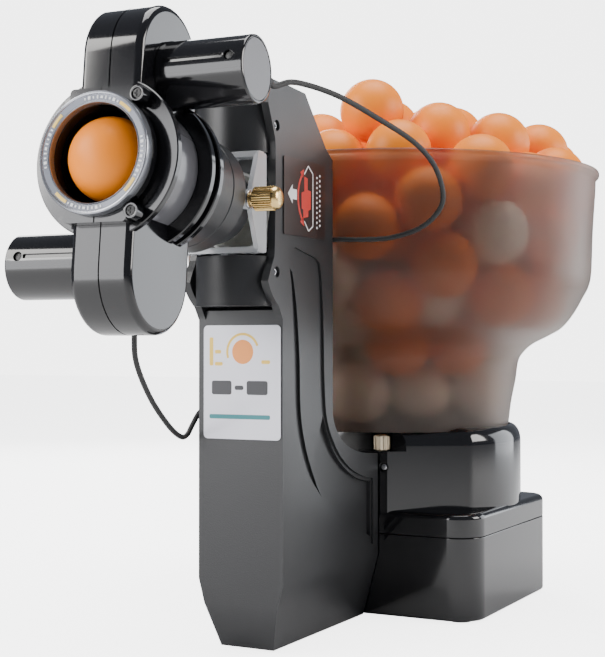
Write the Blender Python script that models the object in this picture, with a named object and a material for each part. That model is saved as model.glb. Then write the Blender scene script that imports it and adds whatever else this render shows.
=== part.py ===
"""Table-tennis ball robot: hopper, feed base, column, oscillating yoke and wheel-driven shooting head.

The origin lies on the standing surface under the middle of the overall box. -Y is the shooting
direction, +X is the side with the tilt knob, +Z is up. Lengths below are in millimetres, and y values
are counted from a plane MIDDLE_Y in front of the origin, which the last step takes off.
"""
import math

import bmesh
import bpy
from mathutils import Matrix, Vector

MM = 0.001
GAP = 0.3
WELD = 0.00001
MIDDLE_Y = 1.393
WALL = 3.0
ROUND_STEPS = 40

# Base under the hopper.
BASE_HALF_X = 89.0
BASE_FRONT_Y = 31.0
BASE_REAR_Y = 179.0
BASE_CORNER = 14.0
PAD_H = 1.2
LOCK_X = 25.5
LOCK_Y = 38.5
SEAM_Z = 51.8
LID_TOP_Z = 66.0
SHELF_Z = 102.0
SEAT_TOP_Z = 116.0
SEAT_HALF_FRONT = 32.0
SEAT_R = 89.0
SEAT_RECESS_R = 81.2
SEAT_DECK_Z = 113.3
SEAT_BORE_R = 62.5
SEAT_CUT_Y = 52.0
NECK_R = 66.0
NECK_TOP_Z = 112.6
FEED_FLOOR_Z = 50.0
HOPPER_Y = 105.6
ROTOR_R = 59.0

# Hopper: a spigot, then the outer radius at height from the flange to the rim.
SPIGOT_R = 61.6
SPIGOT_LOW_Z = 104.0
FLANGE_Z = 113.6
HOPPER_OUTER = [
    (80.0, FLANGE_Z), (80.2, 117.0), (82.0, 131.0), (84.7, 144.5), (86.6, 157.0), (90.0, 163.0),
    (96.0, 168.4), (106.0, 173.6), (115.0, 179.0), (122.5, 188.0), (128.5, 198.5), (132.3, 206.0),
    (134.2, 216.0), (135.2, 242.0), (136.8, 266.0), (137.2, 275.0),
]
HOPPER_WALL = 2.2
RIM_R = 139.3
RIM_Z = 280.5
RIM_H = 3.4

# Column.
COLUMN_HALF_X = 26.4
CHEEK_IN_X = 22.0
FOOT_HALF_X = 16.0
FOOT_FRONT_Y = -85.0
FRONT_Y = -92.8
FOOT_CREASE_Z = 39.0
FOOT_CHAMFER_Z = 25.8
REAR_Y = -32.6
BACK_Y = 29.9
WEB_Y = -87.0
SWEEP_TOP_Z = 128.0
SWEEP_END_Z = 101.0
TURRET_R = 24.0
TURRET_Y = -93.0

# Ball duct.
DUCT_R = 22.2
DUCT_BORE_R = 20.8
DUCT_Y = -59.0
DUCT_LOW_Z = 73.0
DUCT_BEND_R = 27.0
DUCT_MOUTH_Y = -99.0

# Yoke and head axes.
PAN_Y = -109.0
PIVOT_Y = -129.7
PIVOT_Z = 241.8
PAN_REST_DEG = 3.8
TILT_REST_DEG = 5.8
YOKE_HALF_X = 24.5
YOKE_IN_X = 21.8
YOKE_LOW_Z = 215.5
YOKE_TOP_Z = 268.5

# Head, measured along the barrel (q, forward of the tilt pivot), up (u) and across (x).
HOUSING_FRONT_Q = 99.5
HOUSING_REAR_Q = 43.8
HOUSING_HALF_X = 16.0
HOUSING_HALF_U = 78.0
WHEEL_Q = 71.0
WHEEL_U = 44.5
WHEEL_R = 25.0
WHEEL_HALF_X = 9.0
BARREL_R = 30.0
BARREL_BORE_R = 22.9
RIB_R = 37.5
RIBS_Q = [(54.0, 58.0), (62.5, 66.5), (95.0, 98.9)]
COVER_R = 16.0
COVER_END_X = 61.0
MOTOR_R = 12.5
MUZZLE_HALF_X = 16.5
MUZZLE_HALF_U = 31.0
MUZZLE_DISC_R = 28.0
MUZZLE_BOSSES = [(19.5, -26.5), (19.5, 26.5)]
MUZZLE_Q = 105.5
RING_Q = 110.0
RING_R = 28.4
KNOB_R = 6.4
KNOB_IN_X = 26.0
KNOB_OUT_X = 42.4

# Leads: hand-chosen route points from the motor glands to the column.
LEAD_R = 1.45
GLAND_L = 4.7
UPPER_GLAND_X = 57.0
LOWER_GLAND_X = -26.0
SIDE_GROMMET = (-75.0, 131.0)
UPPER_ROUTE = [
    (61.24, -170.5, 291.03), (60.9, -164.5, 290.6), (64.5, -150.0, 294.5), (72.0, -120.0, 292.5),
    (81.1, -88.0, 284.5), (89.6, -62.0, 275.5), (94.0, -44.0, 264.6), (93.7, -31.0, 250.3),
    (88.0, -25.5, 241.1), (76.1, -24.0, 232.8), (58.5, -25.5, 228.2), (41.5, -29.5, 227.6),
    (32.0, -30.9, 228.0), (25.3, -30.9, 228.0),
]
LOWER_ROUTE = [
    (-21.03, -184.8, 202.53), (-21.4, -179.5, 201.9), (-17.5, -172.5, 192.0), (-15.0, -172.0, 176.0),
    (-15.8, -169.0, 159.0), (-20.3, -150.0, 140.5), (-25.5, -125.0, 124.7), (-30.5, -105.0, 117.3),
    (-34.5, -92.0, 117.5), (-37.0, -82.5, 122.5), (-36.0, -76.0, 129.5), (-30.4, -75.0, 131.0),
]

BLACK_SATIN = ("black_satin", (0.020, 0.020, 0.024), 0.45, 0.0)
BLACK_GLOSS = ("black_gloss", (0.012, 0.012, 0.014), 0.15, 0.0)
SMOKE = ("smoky_frost", (0.30, 0.24, 0.21), 0.45, 0.0)
CLEAR = ("clear", (0.85, 0.87, 0.88), 0.08, 0.0)
BRASS = ("brass", (0.72, 0.52, 0.22), 0.32, 1.0)
STEEL = ("steel", (0.62, 0.62, 0.64), 0.3, 1.0)
RUBBER = ("rubber", (0.03, 0.03, 0.03), 0.85, 0.0)
GREY_RUBBER = ("wheel_rubber", (0.20, 0.20, 0.21), 0.8, 0.0)
BOARD = ("board_green", (0.03, 0.16, 0.07), 0.5, 0.0)
SILVER_LABEL = ("silver_label", (0.72, 0.72, 0.74), 0.35, 0.2)
DARK_LABEL = ("dark_label", (0.05, 0.035, 0.035), 0.4, 0.0)
WHITE_PLASTIC = ("white_plastic", (0.75, 0.75, 0.72), 0.5, 0.0)


# ---------------------------------------------------------------- helpers

def clear_scene():
    """Remove every object that the file starts with."""
    for obj in list(bpy.data.objects):
        bpy.data.objects.remove(obj, do_unlink=True)


def get_material(finish):
    """Return the Principled material of one finish, made on first use."""
    name, color, roughness, metallic = finish
    material = bpy.data.materials.get(name)
    if material is None:
        material = bpy.data.materials.new(name)
        material.use_nodes = True
        shader = material.node_tree.nodes["Principled BSDF"]
        shader.inputs["Base Color"].default_value = (*color, 1.0)
        shader.inputs["Roughness"].default_value = roughness
        shader.inputs["Metallic"].default_value = metallic
    return material


def add_object(name, bm, finish, parent=None, smooth=False, origin=(0, 0, 0)):
    """Turn a bmesh in millimetres into an object with its origin at the given point."""
    bmesh.ops.recalc_face_normals(bm, faces=bm.faces[:])
    bmesh.ops.translate(bm, verts=bm.verts[:], vec=-Vector(origin))
    bmesh.ops.scale(bm, verts=bm.verts[:], vec=Vector((MM, MM, MM)))
    mesh = bpy.data.meshes.new(name)
    bm.to_mesh(mesh)
    bm.free()
    obj = bpy.data.objects.new(name, mesh)
    bpy.context.collection.objects.link(obj)
    obj.location = Vector(origin) * MM
    obj.parent = parent
    mesh.materials.append(get_material(finish))
    if smooth:
        mesh.shade_smooth()
    return obj


def add_empty(name, place, turn, parent):
    """Add an empty on a joint axis, in millimetres and degrees."""
    empty = bpy.data.objects.new(name, None)
    bpy.context.collection.objects.link(empty)
    empty.location = Vector(place) * MM
    empty.rotation_euler = [math.radians(angle) for angle in turn]
    empty.parent = parent
    return empty


def prism(outline, axis, low, high):
    """Extrude a closed outline along X, Y or Z. The outline holds the other two coordinates in order."""
    bm = bmesh.new()
    rings = []
    for level in (low, high):
        ring = []
        for a, b in outline:
            point = {"X": (level, a, b), "Y": (a, level, b), "Z": (a, b, level)}[axis]
            ring.append(bm.verts.new(point))
        rings.append(ring)
    bm.faces.new(rings[0])
    bm.faces.new(rings[1])
    count = len(outline)
    for i in range(count):
        j = (i + 1) % count
        bm.faces.new((rings[0][i], rings[0][j], rings[1][j], rings[1][i]))
    bmesh.ops.recalc_face_normals(bm, faces=bm.faces[:])
    return bm


def box(low, high):
    """Make a box between two corners."""
    outline = [(low[0], low[1]), (high[0], low[1]), (high[0], high[1]), (low[0], high[1])]
    return prism(outline, "Z", low[2], high[2])


def turned(profile, axis="Z", centre=(0, 0, 0), steps=ROUND_STEPS):
    """Spin a closed profile of (radius, height) points round an axis. Points at radius 0 are poles."""
    bm = bmesh.new()
    rings = []
    for radius, height in profile:
        count = 1 if radius == 0 else steps
        ring = []
        for i in range(count):
            angle = 2 * math.pi * (i + 0.5) / steps
            a = radius * math.cos(angle)
            b = radius * math.sin(angle)
            point = {"Z": (a, b, height), "X": (height, a, b), "Y": (b, height, a)}[axis]
            ring.append(bm.verts.new(Vector(point) + Vector(centre)))
        rings.append(ring)
    for first, second in zip(rings, rings[1:] + rings[:1]):
        if len(first) == 1 and len(second) == 1:
            continue
        for i in range(steps):
            j = (i + 1) % steps
            if len(first) == 1:
                bm.faces.new((first[0], second[j], second[i]))
            elif len(second) == 1:
                bm.faces.new((first[i], first[j], second[0]))
            else:
                bm.faces.new((first[i], first[j], second[j], second[i]))
    bmesh.ops.recalc_face_normals(bm, faces=bm.faces[:])
    return bm


def cylinder(axis, centre, radius, low, high, steps=ROUND_STEPS):
    """Make a solid cylinder between two heights along an axis."""
    return turned([(0, low), (radius, low), (radius, high), (0, high)], axis, centre, steps)


def bezier(start, control, end, steps):
    """Points of a quadratic curve between two points, both ends included."""
    points = []
    for i in range(steps + 1):
        t = i / steps
        points.append(tuple(
            (1 - t) ** 2 * a + 2 * t * (1 - t) * c + t * t * b
            for a, c, b in zip(start, control, end)
        ))
    return points


def arc(centre, radius, first_deg, last_deg, steps):
    """Points of a circular arc, both ends included."""
    points = []
    for i in range(steps + 1):
        angle = math.radians(first_deg + (last_deg - first_deg) * i / steps)
        points.append((centre[0] + radius * math.cos(angle), centre[1] + radius * math.sin(angle)))
    return points


def rounded_rectangle(low, high, radius, steps=6):
    """Outline of a rectangle with round corners."""
    points = []
    points += arc((high[0] - radius, low[1] + radius), radius, -90, 0, steps)
    points += arc((high[0] - radius, high[1] - radius), radius, 0, 90, steps)
    points += arc((low[0] + radius, high[1] - radius), radius, 90, 180, steps)
    points += arc((low[0] + radius, low[1] + radius), radius, 180, 270, steps)
    return points


def weld(target):
    """Merge the near-equal points that a Boolean can leave along thin slivers."""
    bm = bmesh.new()
    bm.from_mesh(target.data)
    bmesh.ops.remove_doubles(bm, verts=bm.verts[:], dist=WELD)
    bmesh.ops.dissolve_degenerate(bm, edges=bm.edges[:], dist=WELD)
    bm.to_mesh(target.data)
    bm.free()


def combine(target, operation, *tools):
    """Apply Boolean operations to an object with cutters in millimetres, in the target's frame."""
    for number, tool in enumerate(tools):
        cutter = add_object(f"cut_{target.name}_{number}", tool, BLACK_SATIN)
        cutter.location = target.location
        modifier = target.modifiers.new("boolean", "BOOLEAN")
        modifier.operation = operation
        modifier.solver = "EXACT"
        modifier.object = cutter
        bpy.context.view_layer.update()
        graph = bpy.context.evaluated_depsgraph_get()
        result = bpy.data.meshes.new_from_object(target.evaluated_get(graph))
        target.modifiers.remove(modifier)
        old = target.data
        target.data = result
        bpy.data.meshes.remove(old)
        bpy.data.objects.remove(cutter, do_unlink=True)
        weld(target)
    return target


def cut(target, *tools):
    """Cut tools out of a target."""
    return combine(target, "DIFFERENCE", *tools)


def join(target, *tools):
    """Fuse tools to a target."""
    return combine(target, "UNION", *tools)


def mirrored(bm, side):
    """Mirror a bmesh across the plane x = 0 when side is -1."""
    if side < 0:
        bmesh.ops.scale(bm, verts=bm.verts[:], vec=Vector((-1, 1, 1)))
        bmesh.ops.reverse_faces(bm, faces=bm.faces[:])
    return bm


def swept_tube(route, radius, bore, steps=28):
    """Sweep a ring section along route points that lie in the plane x = 0."""
    bm = bmesh.new()
    sections = []
    for i, point in enumerate(route):
        before = Vector(route[max(i - 1, 0)])
        after = Vector(route[min(i + 1, len(route) - 1)])
        along = (after - before).normalized()
        up = Vector((-along.y, along.x))
        section = []
        for size in (radius, bore):
            ring = []
            for k in range(steps):
                angle = 2 * math.pi * k / steps
                offset = up * size * math.sin(angle)
                place = (size * math.cos(angle), point[0] + offset.x, point[1] + offset.y)
                ring.append(bm.verts.new(place))
            section.append(ring)
        sections.append(section)
    for first, second in zip(sections, sections[1:]):
        for k in range(steps):
            n = (k + 1) % steps
            bm.faces.new((first[0][k], first[0][n], second[0][n], second[0][k]))
            bm.faces.new((first[1][n], first[1][k], second[1][k], second[1][n]))
    for outer, inner in (sections[0], sections[-1]):
        for k in range(steps):
            n = (k + 1) % steps
            bm.faces.new((outer[k], outer[n], inner[n], inner[k]))
    bmesh.ops.recalc_face_normals(bm, faces=bm.faces[:])
    return bm


# ---------------------------------------------------------------- base and hopper

def base_outline(inset):
    """Plan of the base box, drawn in by an inset."""
    low = (-BASE_HALF_X + inset, BASE_FRONT_Y + inset)
    high = (BASE_HALF_X - inset, BASE_REAR_Y - inset)
    return rounded_rectangle(low, high, BASE_CORNER - inset)


def build_base_tray():
    """Lower half of the base box, open at the top, with a duct notch in front."""
    tray = add_object("base_tray", prism(base_outline(0), "Z", PAD_H + GAP, SEAM_Z - GAP), BLACK_GLOSS)
    inside = prism(base_outline(WALL), "Z", WALL + PAD_H, SEAM_Z + 5)
    notch = cylinder("Y", (0, 0, DUCT_LOW_Z), DUCT_R + 0.6, BASE_FRONT_Y - 5, BASE_FRONT_Y + 8)
    socket = box((-62, BASE_REAR_Y - 8, 14), (-48, BASE_REAR_Y + 5, 28))
    switch = box((-38, BASE_REAR_Y - 8, 13), (-18, BASE_REAR_Y + 5, 29))
    return cut(tray, inside, notch, socket, switch)


def seat_plan():
    """Plan of the hopper seat: a round rear with two flat facets that run to a narrow front."""
    centre = (0, HOPPER_Y)
    points = [(-SEAT_HALF_FRONT, BASE_FRONT_Y + 0.6), (SEAT_HALF_FRONT, BASE_FRONT_Y + 0.6)]
    points += arc(centre, SEAT_R - 1.0, -32, 212, 36)
    return points


def build_base_cover():
    """Lid of the base with the hopper seat and the feed floor in one moulding."""
    axis = (0, HOPPER_Y, 0)
    cover = add_object("base_cover", prism(base_outline(0), "Z", SEAM_Z, LID_TOP_Z), BLACK_GLOSS)
    cut(cover, prism(base_outline(WALL), "Z", SEAM_Z - 5, LID_TOP_Z - WALL))
    ring = turned(
        [(SEAT_BORE_R - 4, 63.6), (SEAT_R - 0.6, 63.6), (SEAT_R - 1.6, 107), (SEAT_R - 3.4, 112.5),
         (SEAT_R - 7.0, SEAT_TOP_Z), (SEAT_BORE_R - 4, SEAT_TOP_Z)], "Z", axis)
    well = cylinder("Z", axis, SEAT_BORE_R + WALL, FEED_FLOOR_Z, 64.5)
    join(cover, prism(seat_plan(), "Z", LID_TOP_Z - 2.5, SHELF_Z), ring, well)
    front = box((-95, -20, SHELF_Z), (95, SEAT_CUT_Y, 130))
    face = box((-95, -20, LID_TOP_Z - 4), (95, BASE_FRONT_Y + 0.4, 110))
    recess = cylinder("Z", axis, SEAT_RECESS_R, SEAT_DECK_Z, SEAT_TOP_Z + 5)
    bowl = cylinder("Z", axis, SEAT_BORE_R, FEED_FLOOR_Z + WALL, SEAT_TOP_Z + 5)
    shaft_hole = cylinder("Z", axis, 6.0, 40, 70, 24)
    mouth = cylinder("Y", (0, 0, DUCT_LOW_Z), DUCT_R + 0.6, BASE_FRONT_Y - 8, BASE_FRONT_Y + 30)
    cut(cover, front, face, recess, bowl, shaft_hole, mouth)
    neck = [(SEAT_BORE_R + 0.4, SHELF_Z - 4), (NECK_R, SHELF_Z - 4), (NECK_R, NECK_TOP_Z),
            (SEAT_BORE_R + 0.4, NECK_TOP_Z)]
    join(cover, turned(neck, "Z", axis))
    for side in (-1, 1):
        cut(cover, cylinder("Z", (side * LOCK_X, LOCK_Y, 0), 2.3, SHELF_Z - 9, SHELF_Z + 30, 16))
    return cover


def build_pads():
    """Stick-on pads under the four base corners and the column foot."""
    places = [(x, y) for x in (-74, 74) for y in (46, 164)] + [(0, -72)]
    for number, (x, y) in enumerate(places, 1):
        add_object(f"rubber_pad_{number}", cylinder("Z", (x, y, 0), 7.0, 0, PAD_H, 24), RUBBER)


def build_hopper():
    """Frosted bowl with a rolled rim and an open foot."""
    inner = [(radius - HOPPER_WALL, height + 0.4) for radius, height in reversed(HOPPER_OUTER[1:])]
    foot = [(HOPPER_OUTER[0][0] - HOPPER_WALL, FLANGE_Z + HOPPER_WALL),
            (SPIGOT_R - HOPPER_WALL, FLANGE_Z + HOPPER_WALL),
            (SPIGOT_R - HOPPER_WALL, SPIGOT_LOW_Z), (SPIGOT_R, SPIGOT_LOW_Z), (SPIGOT_R, FLANGE_Z)]
    rim = [(RIM_R, RIM_Z - RIM_H), (RIM_R + 0.2, RIM_Z - 0.8), (RIM_R - 0.8, RIM_Z),
           (RIM_R - HOPPER_WALL - 1.4, RIM_Z)]
    profile = HOPPER_OUTER + rim + inner + foot
    return add_object("hopper", turned(profile, "Z", (0, HOPPER_Y, 0), 60), SMOKE, smooth=True)


def build_lock_screws():
    """Two knurled brass screws on the seat's front shelf that lock the hopper."""
    for name, side in (("hopper_lock_right", 1), ("hopper_lock_left", -1)):
        place = (side * LOCK_X, LOCK_Y, SHELF_Z)
        profile = [(0, -8), (2.0, -8), (2.0, GAP), (5.0, GAP), (5.2, 0.9), (5.2, 9.4), (4.6, 10.2),
                   (0, 10.2)]
        add_object(name, turned(profile, "Z", place, 24), BRASS, smooth=True, origin=place)


def build_feed():
    """Feed motor, its shaft coupling, and the rotor whose arms push balls into the duct."""
    centre = (0, HOPPER_Y, 0)
    motor = [(0, 8), (18, 8), (18, 41), (26, 41), (26, 43), (5, 43), (5, 44), (0, 44)]
    add_object("feed_motor", turned(motor, "Z", centre, 32), STEEL)
    shaft = [(0, 44.3), (3, 44.3), (3, 57.6), (0, 57.6)]
    add_object("feed_shaft", turned(shaft, "Z", centre, 16), STEEL, origin=centre)
    rotor = add_object("feed_rotor", cylinder("Z", centre, 17, 58, 84, 32), WHITE_PLASTIC, origin=centre)
    for number in range(4):
        arm = box((-3, 14, 58.4), (3, ROTOR_R, 78))
        bmesh.ops.rotate(arm, verts=arm.verts[:], matrix=Matrix.Rotation(math.radians(45 + 90 * number),
                                                                         3, "Z"))
        join(rotor, arm)
    return rotor


def build_electronics():
    """Control board with its parts, power socket, switch and rear cable gland."""
    board = box((-70, 108, 12), (-24, 160, 13.6))
    add_object("control_board", board, BOARD)
    add_object("board_heatsink", box((-66, 116, 13.9), (-50, 138, 26)), STEEL)
    add_object("power_socket", box((-61.7, BASE_REAR_Y - 16, 14.3), (-48.3, BASE_REAR_Y + 1.0, 27.7)),
               RUBBER)
    add_object("power_switch_case", box((-37.7, BASE_REAR_Y - 14, 13.3), (-18.3, BASE_REAR_Y - 4.2,
                                                                          28.7)), RUBBER)
    place = (-28, BASE_REAR_Y - 1.4, 21)
    rocker = box((-36.4, BASE_REAR_Y - 2.6, 15.6), (-19.6, BASE_REAR_Y + 1.2, 26.4))
    add_object("power_rocker", rocker, RUBBER, origin=place)


# ---------------------------------------------------------------- column

def column_outline():
    """Side outline of the column without the fork's front horns, as (y, z) points."""
    points = [(FOOT_FRONT_Y, PAD_H + GAP), (FRONT_Y, FOOT_CHAMFER_Z), (FRONT_Y, 186.0), (WEB_Y, 189.0),
              (WEB_Y, 307.6), (-66.8, 306.5), (-41.0, 279.0), (REAR_Y, 273.5)]
    points += bezier((REAR_Y, SWEEP_TOP_Z), (REAR_Y + 6, SWEEP_END_Z + 2), (BACK_Y, SWEEP_END_Z), 7)
    points += [(BACK_Y, PAD_H + GAP)]
    return points


def cavity_outline():
    """Side outline of the room inside the column."""
    points = [(FOOT_FRONT_Y + WALL, PAD_H + WALL), (FRONT_Y + WALL, FOOT_CHAMFER_Z + 1),
              (FRONT_Y + WALL, 183.0), (WEB_Y + WALL, 189.0), (WEB_Y + WALL, 304.2), (-68.0, 303.2),
              (-43.0, 276.5), (REAR_Y - WALL, 271.0)]
    points += bezier((REAR_Y - WALL, SWEEP_TOP_Z - 1), (REAR_Y + 2, SWEEP_END_Z - 1),
                     (BACK_Y + 6, SWEEP_END_Z - WALL), 7)
    points += [(BACK_Y + 6, 45.0), (BACK_Y - WALL, 45.0), (BACK_Y - WALL, PAD_H + WALL)]
    return points


def horn_outline():
    """Side outline of one cheek's front part, with the C-shaped recess between its two horns."""
    points = [(FRONT_Y + 8, 178.0), (FRONT_Y, 181.0)]
    points += bezier((-97.5, 188.0), (-106.5, 194.0), (-109.1, 201.0), 4)
    points += [(-101.9, 217.0), (-100.8, 277.0), (-109.1, 295.0), (-105.0, 308.0), (-80.0, 307.2),
               (-80.0, 178.0)]
    return points


def build_column_half(name, side):
    """One moulded half of the column: a shell open at the middle, with a cheek and half a turret."""
    shell = add_object(name, mirrored(prism(column_outline(), "X", 0.15, COLUMN_HALF_X), side), BLACK_SATIN)
    cut(shell, mirrored(prism(cavity_outline(), "X", -5.0, COLUMN_HALF_X - WALL), side))
    join(shell, mirrored(prism(horn_outline(), "X", CHEEK_IN_X, COLUMN_HALF_X), side))
    slope = (COLUMN_HALF_X - FOOT_HALF_X) / FOOT_CREASE_Z
    wedge = [(FOOT_HALF_X - 4 * slope, -4.0), (60.0, -4.0), (60.0, FOOT_CREASE_Z),
             (COLUMN_HALF_X, FOOT_CREASE_Z)]
    thicken = [(0.15, 1.5), (COLUMN_HALF_X - 0.2, 1.5), (COLUMN_HALF_X - 0.2, 44.0), (19.0, 44.0),
               (12.0, 4.2),
               (0.15, 4.2)]
    join(shell, mirrored(prism(thicken, "Y", FOOT_FRONT_Y + 1, BACK_Y - 1), side))
    cut(shell, mirrored(prism(wedge, "Y", -120.0, 60.0), side))
    for low, high in ((188.0, YOKE_LOW_Z - 1.0), (YOKE_TOP_Z + 1.0, 305.0)):
        disc = arc((0, TURRET_Y), TURRET_R, -90, -24, 10)
        plan = [(0.15, WEB_Y + 1)] + [(max(x, 0.15), y) for x, y in disc] + [(CHEEK_IN_X + 1, WEB_Y + 1)]
        join(shell, mirrored(prism(plan, "Z", low, high), side))
    servo = box((-7, -115.0, 274.5), (7, -91.0, 301.5))
    pins = [cylinder("Z", (0, PAN_Y, 0), 3.4, 196.0, 222.0, 16),
            cylinder("Z", (0, PAN_Y, 0), 3.4, 262.0, 280.0, 16)]
    mouth = cylinder("Y", (0, 0, PIVOT_Z - 3), DUCT_R + 0.5, -130.0, -60.0, 32)
    cut(shell, servo, *pins, mouth)
    holes = [cylinder("X", (0, y, z), 2.4, -40, 40, 12) for y, z in ((-99.5, 284.0), (-99.5, 206.0))]
    cut(shell, *holes)
    return shell


def build_duct():
    """Ball pipe from the feed floor, forward and up the column to the web, in two moulded lengths."""
    low = [(BASE_FRONT_Y - 0.4, DUCT_LOW_Z), (DUCT_Y + DUCT_BEND_R, DUCT_LOW_Z)]
    low += arc((DUCT_Y + DUCT_BEND_R, DUCT_LOW_Z + DUCT_BEND_R), DUCT_BEND_R, -90, -180, 6)[1:]
    low += [(DUCT_Y, 150.0)]
    bend_z = PIVOT_Z - 3 - DUCT_BEND_R
    high = [(DUCT_Y, 150.0 + GAP), (DUCT_Y, bend_z)]
    high += arc((DUCT_Y - DUCT_BEND_R, bend_z), DUCT_BEND_R, 0, 90, 6)[1:]
    high += [(DUCT_MOUTH_Y, PIVOT_Z - 3)]
    add_object("ball_duct_lower", swept_tube(low, DUCT_R, DUCT_BORE_R), WHITE_PLASTIC)
    add_object("ball_duct_upper", swept_tube(high, DUCT_R, DUCT_BORE_R), WHITE_PLASTIC)


def build_column_trim():
    """Front label, side decal, cheek screws and the pan servo."""
    label = rounded_rectangle((-22.8, 116.0), (25.4, 178.0), 2.5, 3)
    add_object("front_label", prism(label, "Y", FRONT_Y - 0.8, FRONT_Y - GAP), SILVER_LABEL)
    decal = rounded_rectangle((-92.8, 226.8), (-43.8, 269.0), 1.0, 2)
    add_object("side_decal", prism(decal, "X", COLUMN_HALF_X + GAP, COLUMN_HALF_X + 0.7), DARK_LABEL)
    for level, z in (("upper", 284.0), ("lower", 206.0)):
        for hand, side in (("right", 1), ("left", -1)):
            screw = mirrored(cylinder("X", (0, -99.5, z), 2.0, 18.0, COLUMN_HALF_X - 0.6, 12), side)
            add_object(f"cheek_screw_{level}_{hand}", screw, STEEL)
    add_object("pan_servo", box((-6.4, -114.4, 275.0), (6.4, -91.6, 301.0)), RUBBER)


# ---------------------------------------------------------------- leads

def smooth_route(points, spacing):
    """Read points at an even spacing from the smooth curve through hand-chosen ones."""
    padded = [2 * points[0] - points[1]] + points + [2 * points[-1] - points[-2]]
    fine = []
    for a, b, c, d in zip(padded, padded[1:], padded[2:], padded[3:]):
        for step in range(16):
            t = step / 16
            fine.append(0.5 * (2 * b + (c - a) * t + (2 * a - 5 * b + 4 * c - d) * t ** 2
                               + (3 * b - a - 3 * c + d) * t ** 3))
    fine.append(points[-1])
    total = sum((b - a).length for a, b in zip(fine, fine[1:]))
    count = max(2, round(total / spacing))
    result = [fine[0]]
    walked = 0.0
    for a, b in zip(fine, fine[1:]):
        length = (b - a).length
        while len(result) < count and walked + length >= len(result) * total / count:
            share = (len(result) * total / count - walked) / length
            result.append(a.lerp(b, share))
        walked += length
    result.append(fine[-1])
    return result


def build_lead(name, route):
    """A round lead along hand-chosen points, with flat filled ends."""
    curve = bpy.data.curves.new(name, "CURVE")
    curve.dimensions = "3D"
    points = smooth_route([Vector(point) for point in route], LEAD_R * 5)
    spline = curve.splines.new("POLY")
    spline.points.add(len(points) - 1)
    for target, point in zip(spline.points, points):
        target.co = (*(point * MM), 1.0)
    curve.bevel_depth = LEAD_R * MM
    curve.bevel_resolution = 2
    curve.use_fill_caps = True
    curve.materials.append(get_material(RUBBER))
    obj = bpy.data.objects.new(name, curve)
    bpy.context.collection.objects.link(obj)
    return obj


def build_leads(tilt):
    """Both motor leads and the glands that they run between."""
    build_lead("upper_lead", UPPER_ROUTE)
    build_lead("lower_lead", LOWER_ROUTE)
    exit_q = WHEEL_Q - COVER_R - GAP
    for level, x, side in (("upper", UPPER_GLAND_X, 1), ("lower", LOWER_GLAND_X, -1)):
        profile = [(0, exit_q), (3.1, exit_q), (2.6, exit_q - GLAND_L), (0, exit_q - GLAND_L)]
        centre = (x, 0, PIVOT_Z + side * WHEEL_U)
        gland = add_object(f"{level}_motor_gland", turned(head_profile(profile), "Y", centre, 20), RUBBER)
        place_in_parent(gland, tilt)
    clip = box((17.0, REAR_Y + GAP, 224.5), (25.0, REAR_Y + 3.4, 231.5))
    add_object("rear_lead_clip", clip, RUBBER)
    grommet = [(0, -COLUMN_HALF_X - GAP), (3.4, -COLUMN_HALF_X - GAP), (2.6, -COLUMN_HALF_X - 3.3),
               (0, -COLUMN_HALF_X - 3.3)]
    add_object("side_grommet", turned(grommet, "X", (0, *SIDE_GROMMET), 20), RUBBER)


# ---------------------------------------------------------------- yoke, tube and head

def build_yoke(pan):
    """Clear bracket that turns on the pan pins and carries the tilt pivots."""
    frame = rounded_rectangle((-YOKE_HALF_X, YOKE_LOW_Z), (YOKE_HALF_X, YOKE_TOP_Z), 1.5, 2)
    yoke = add_object("yoke_bracket", prism(frame, "Y", PAN_Y - 10.0, PAN_Y), CLEAR)
    opening = rounded_rectangle((-YOKE_IN_X, YOKE_LOW_Z + 3), (YOKE_IN_X, YOKE_TOP_Z - 3), 1.0, 2)
    cut(yoke, prism(opening, "Y", PAN_Y - 20.0, PAN_Y + 10.0))
    for side in (-1, 1):
        arm = [(PAN_Y - 9.0, YOKE_LOW_Z), (PAN_Y - 3.0, YOKE_LOW_Z), (PAN_Y - 3.0, YOKE_TOP_Z),
               (PAN_Y - 9.0, YOKE_TOP_Z)]
        arm += arc((PIVOT_Y, PIVOT_Z), 5.2, 60, 300, 8)
        join(yoke, mirrored(prism(arm, "X", YOKE_IN_X, YOKE_HALF_X), side))
        cut(yoke, cylinder("X", (0, PIVOT_Y, PIVOT_Z), 2.6, side * 15, side * 32, 16))
    tabs = [cylinder("Z", (0, PAN_Y, 0), 7.5, YOKE_TOP_Z - 3, YOKE_TOP_Z, 24),
            cylinder("Z", (0, PAN_Y, 0), 7.5, YOKE_LOW_Z, YOKE_LOW_Z + 3, 24)]
    join(yoke, *tabs)
    cut(yoke, cylinder("Z", (0, PAN_Y, 0), 2.8, 200.0, 290.0, 16))
    place_in_parent(yoke, pan)
    shaft = add_object("pan_shaft", cylinder("Z", (0, PAN_Y, 0), 2.5, YOKE_TOP_Z - 2.8, 274.7, 16), STEEL)
    pin = add_object("pan_pin", cylinder("Z", (0, PAN_Y, 0), 2.5, 198.0, YOKE_LOW_Z + 2.8, 16), STEEL)
    place_in_parent(shaft, pan)
    place_in_parent(pin, pan)


def place_in_parent(obj, parent):
    """Hang an object drawn in unturned space on a turned empty whose unturned place is kept on it."""
    rest = Vector(parent["unturned"]) * MM
    obj.data.transform(Matrix.Translation(-rest))
    obj.location = (0, 0, 0)
    obj.parent = parent


def head_profile(points):
    """Turn (radius, q) points into (radius, y) points of the unturned head."""
    return [(radius, PIVOT_Y - q) for radius, q in points]


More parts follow.
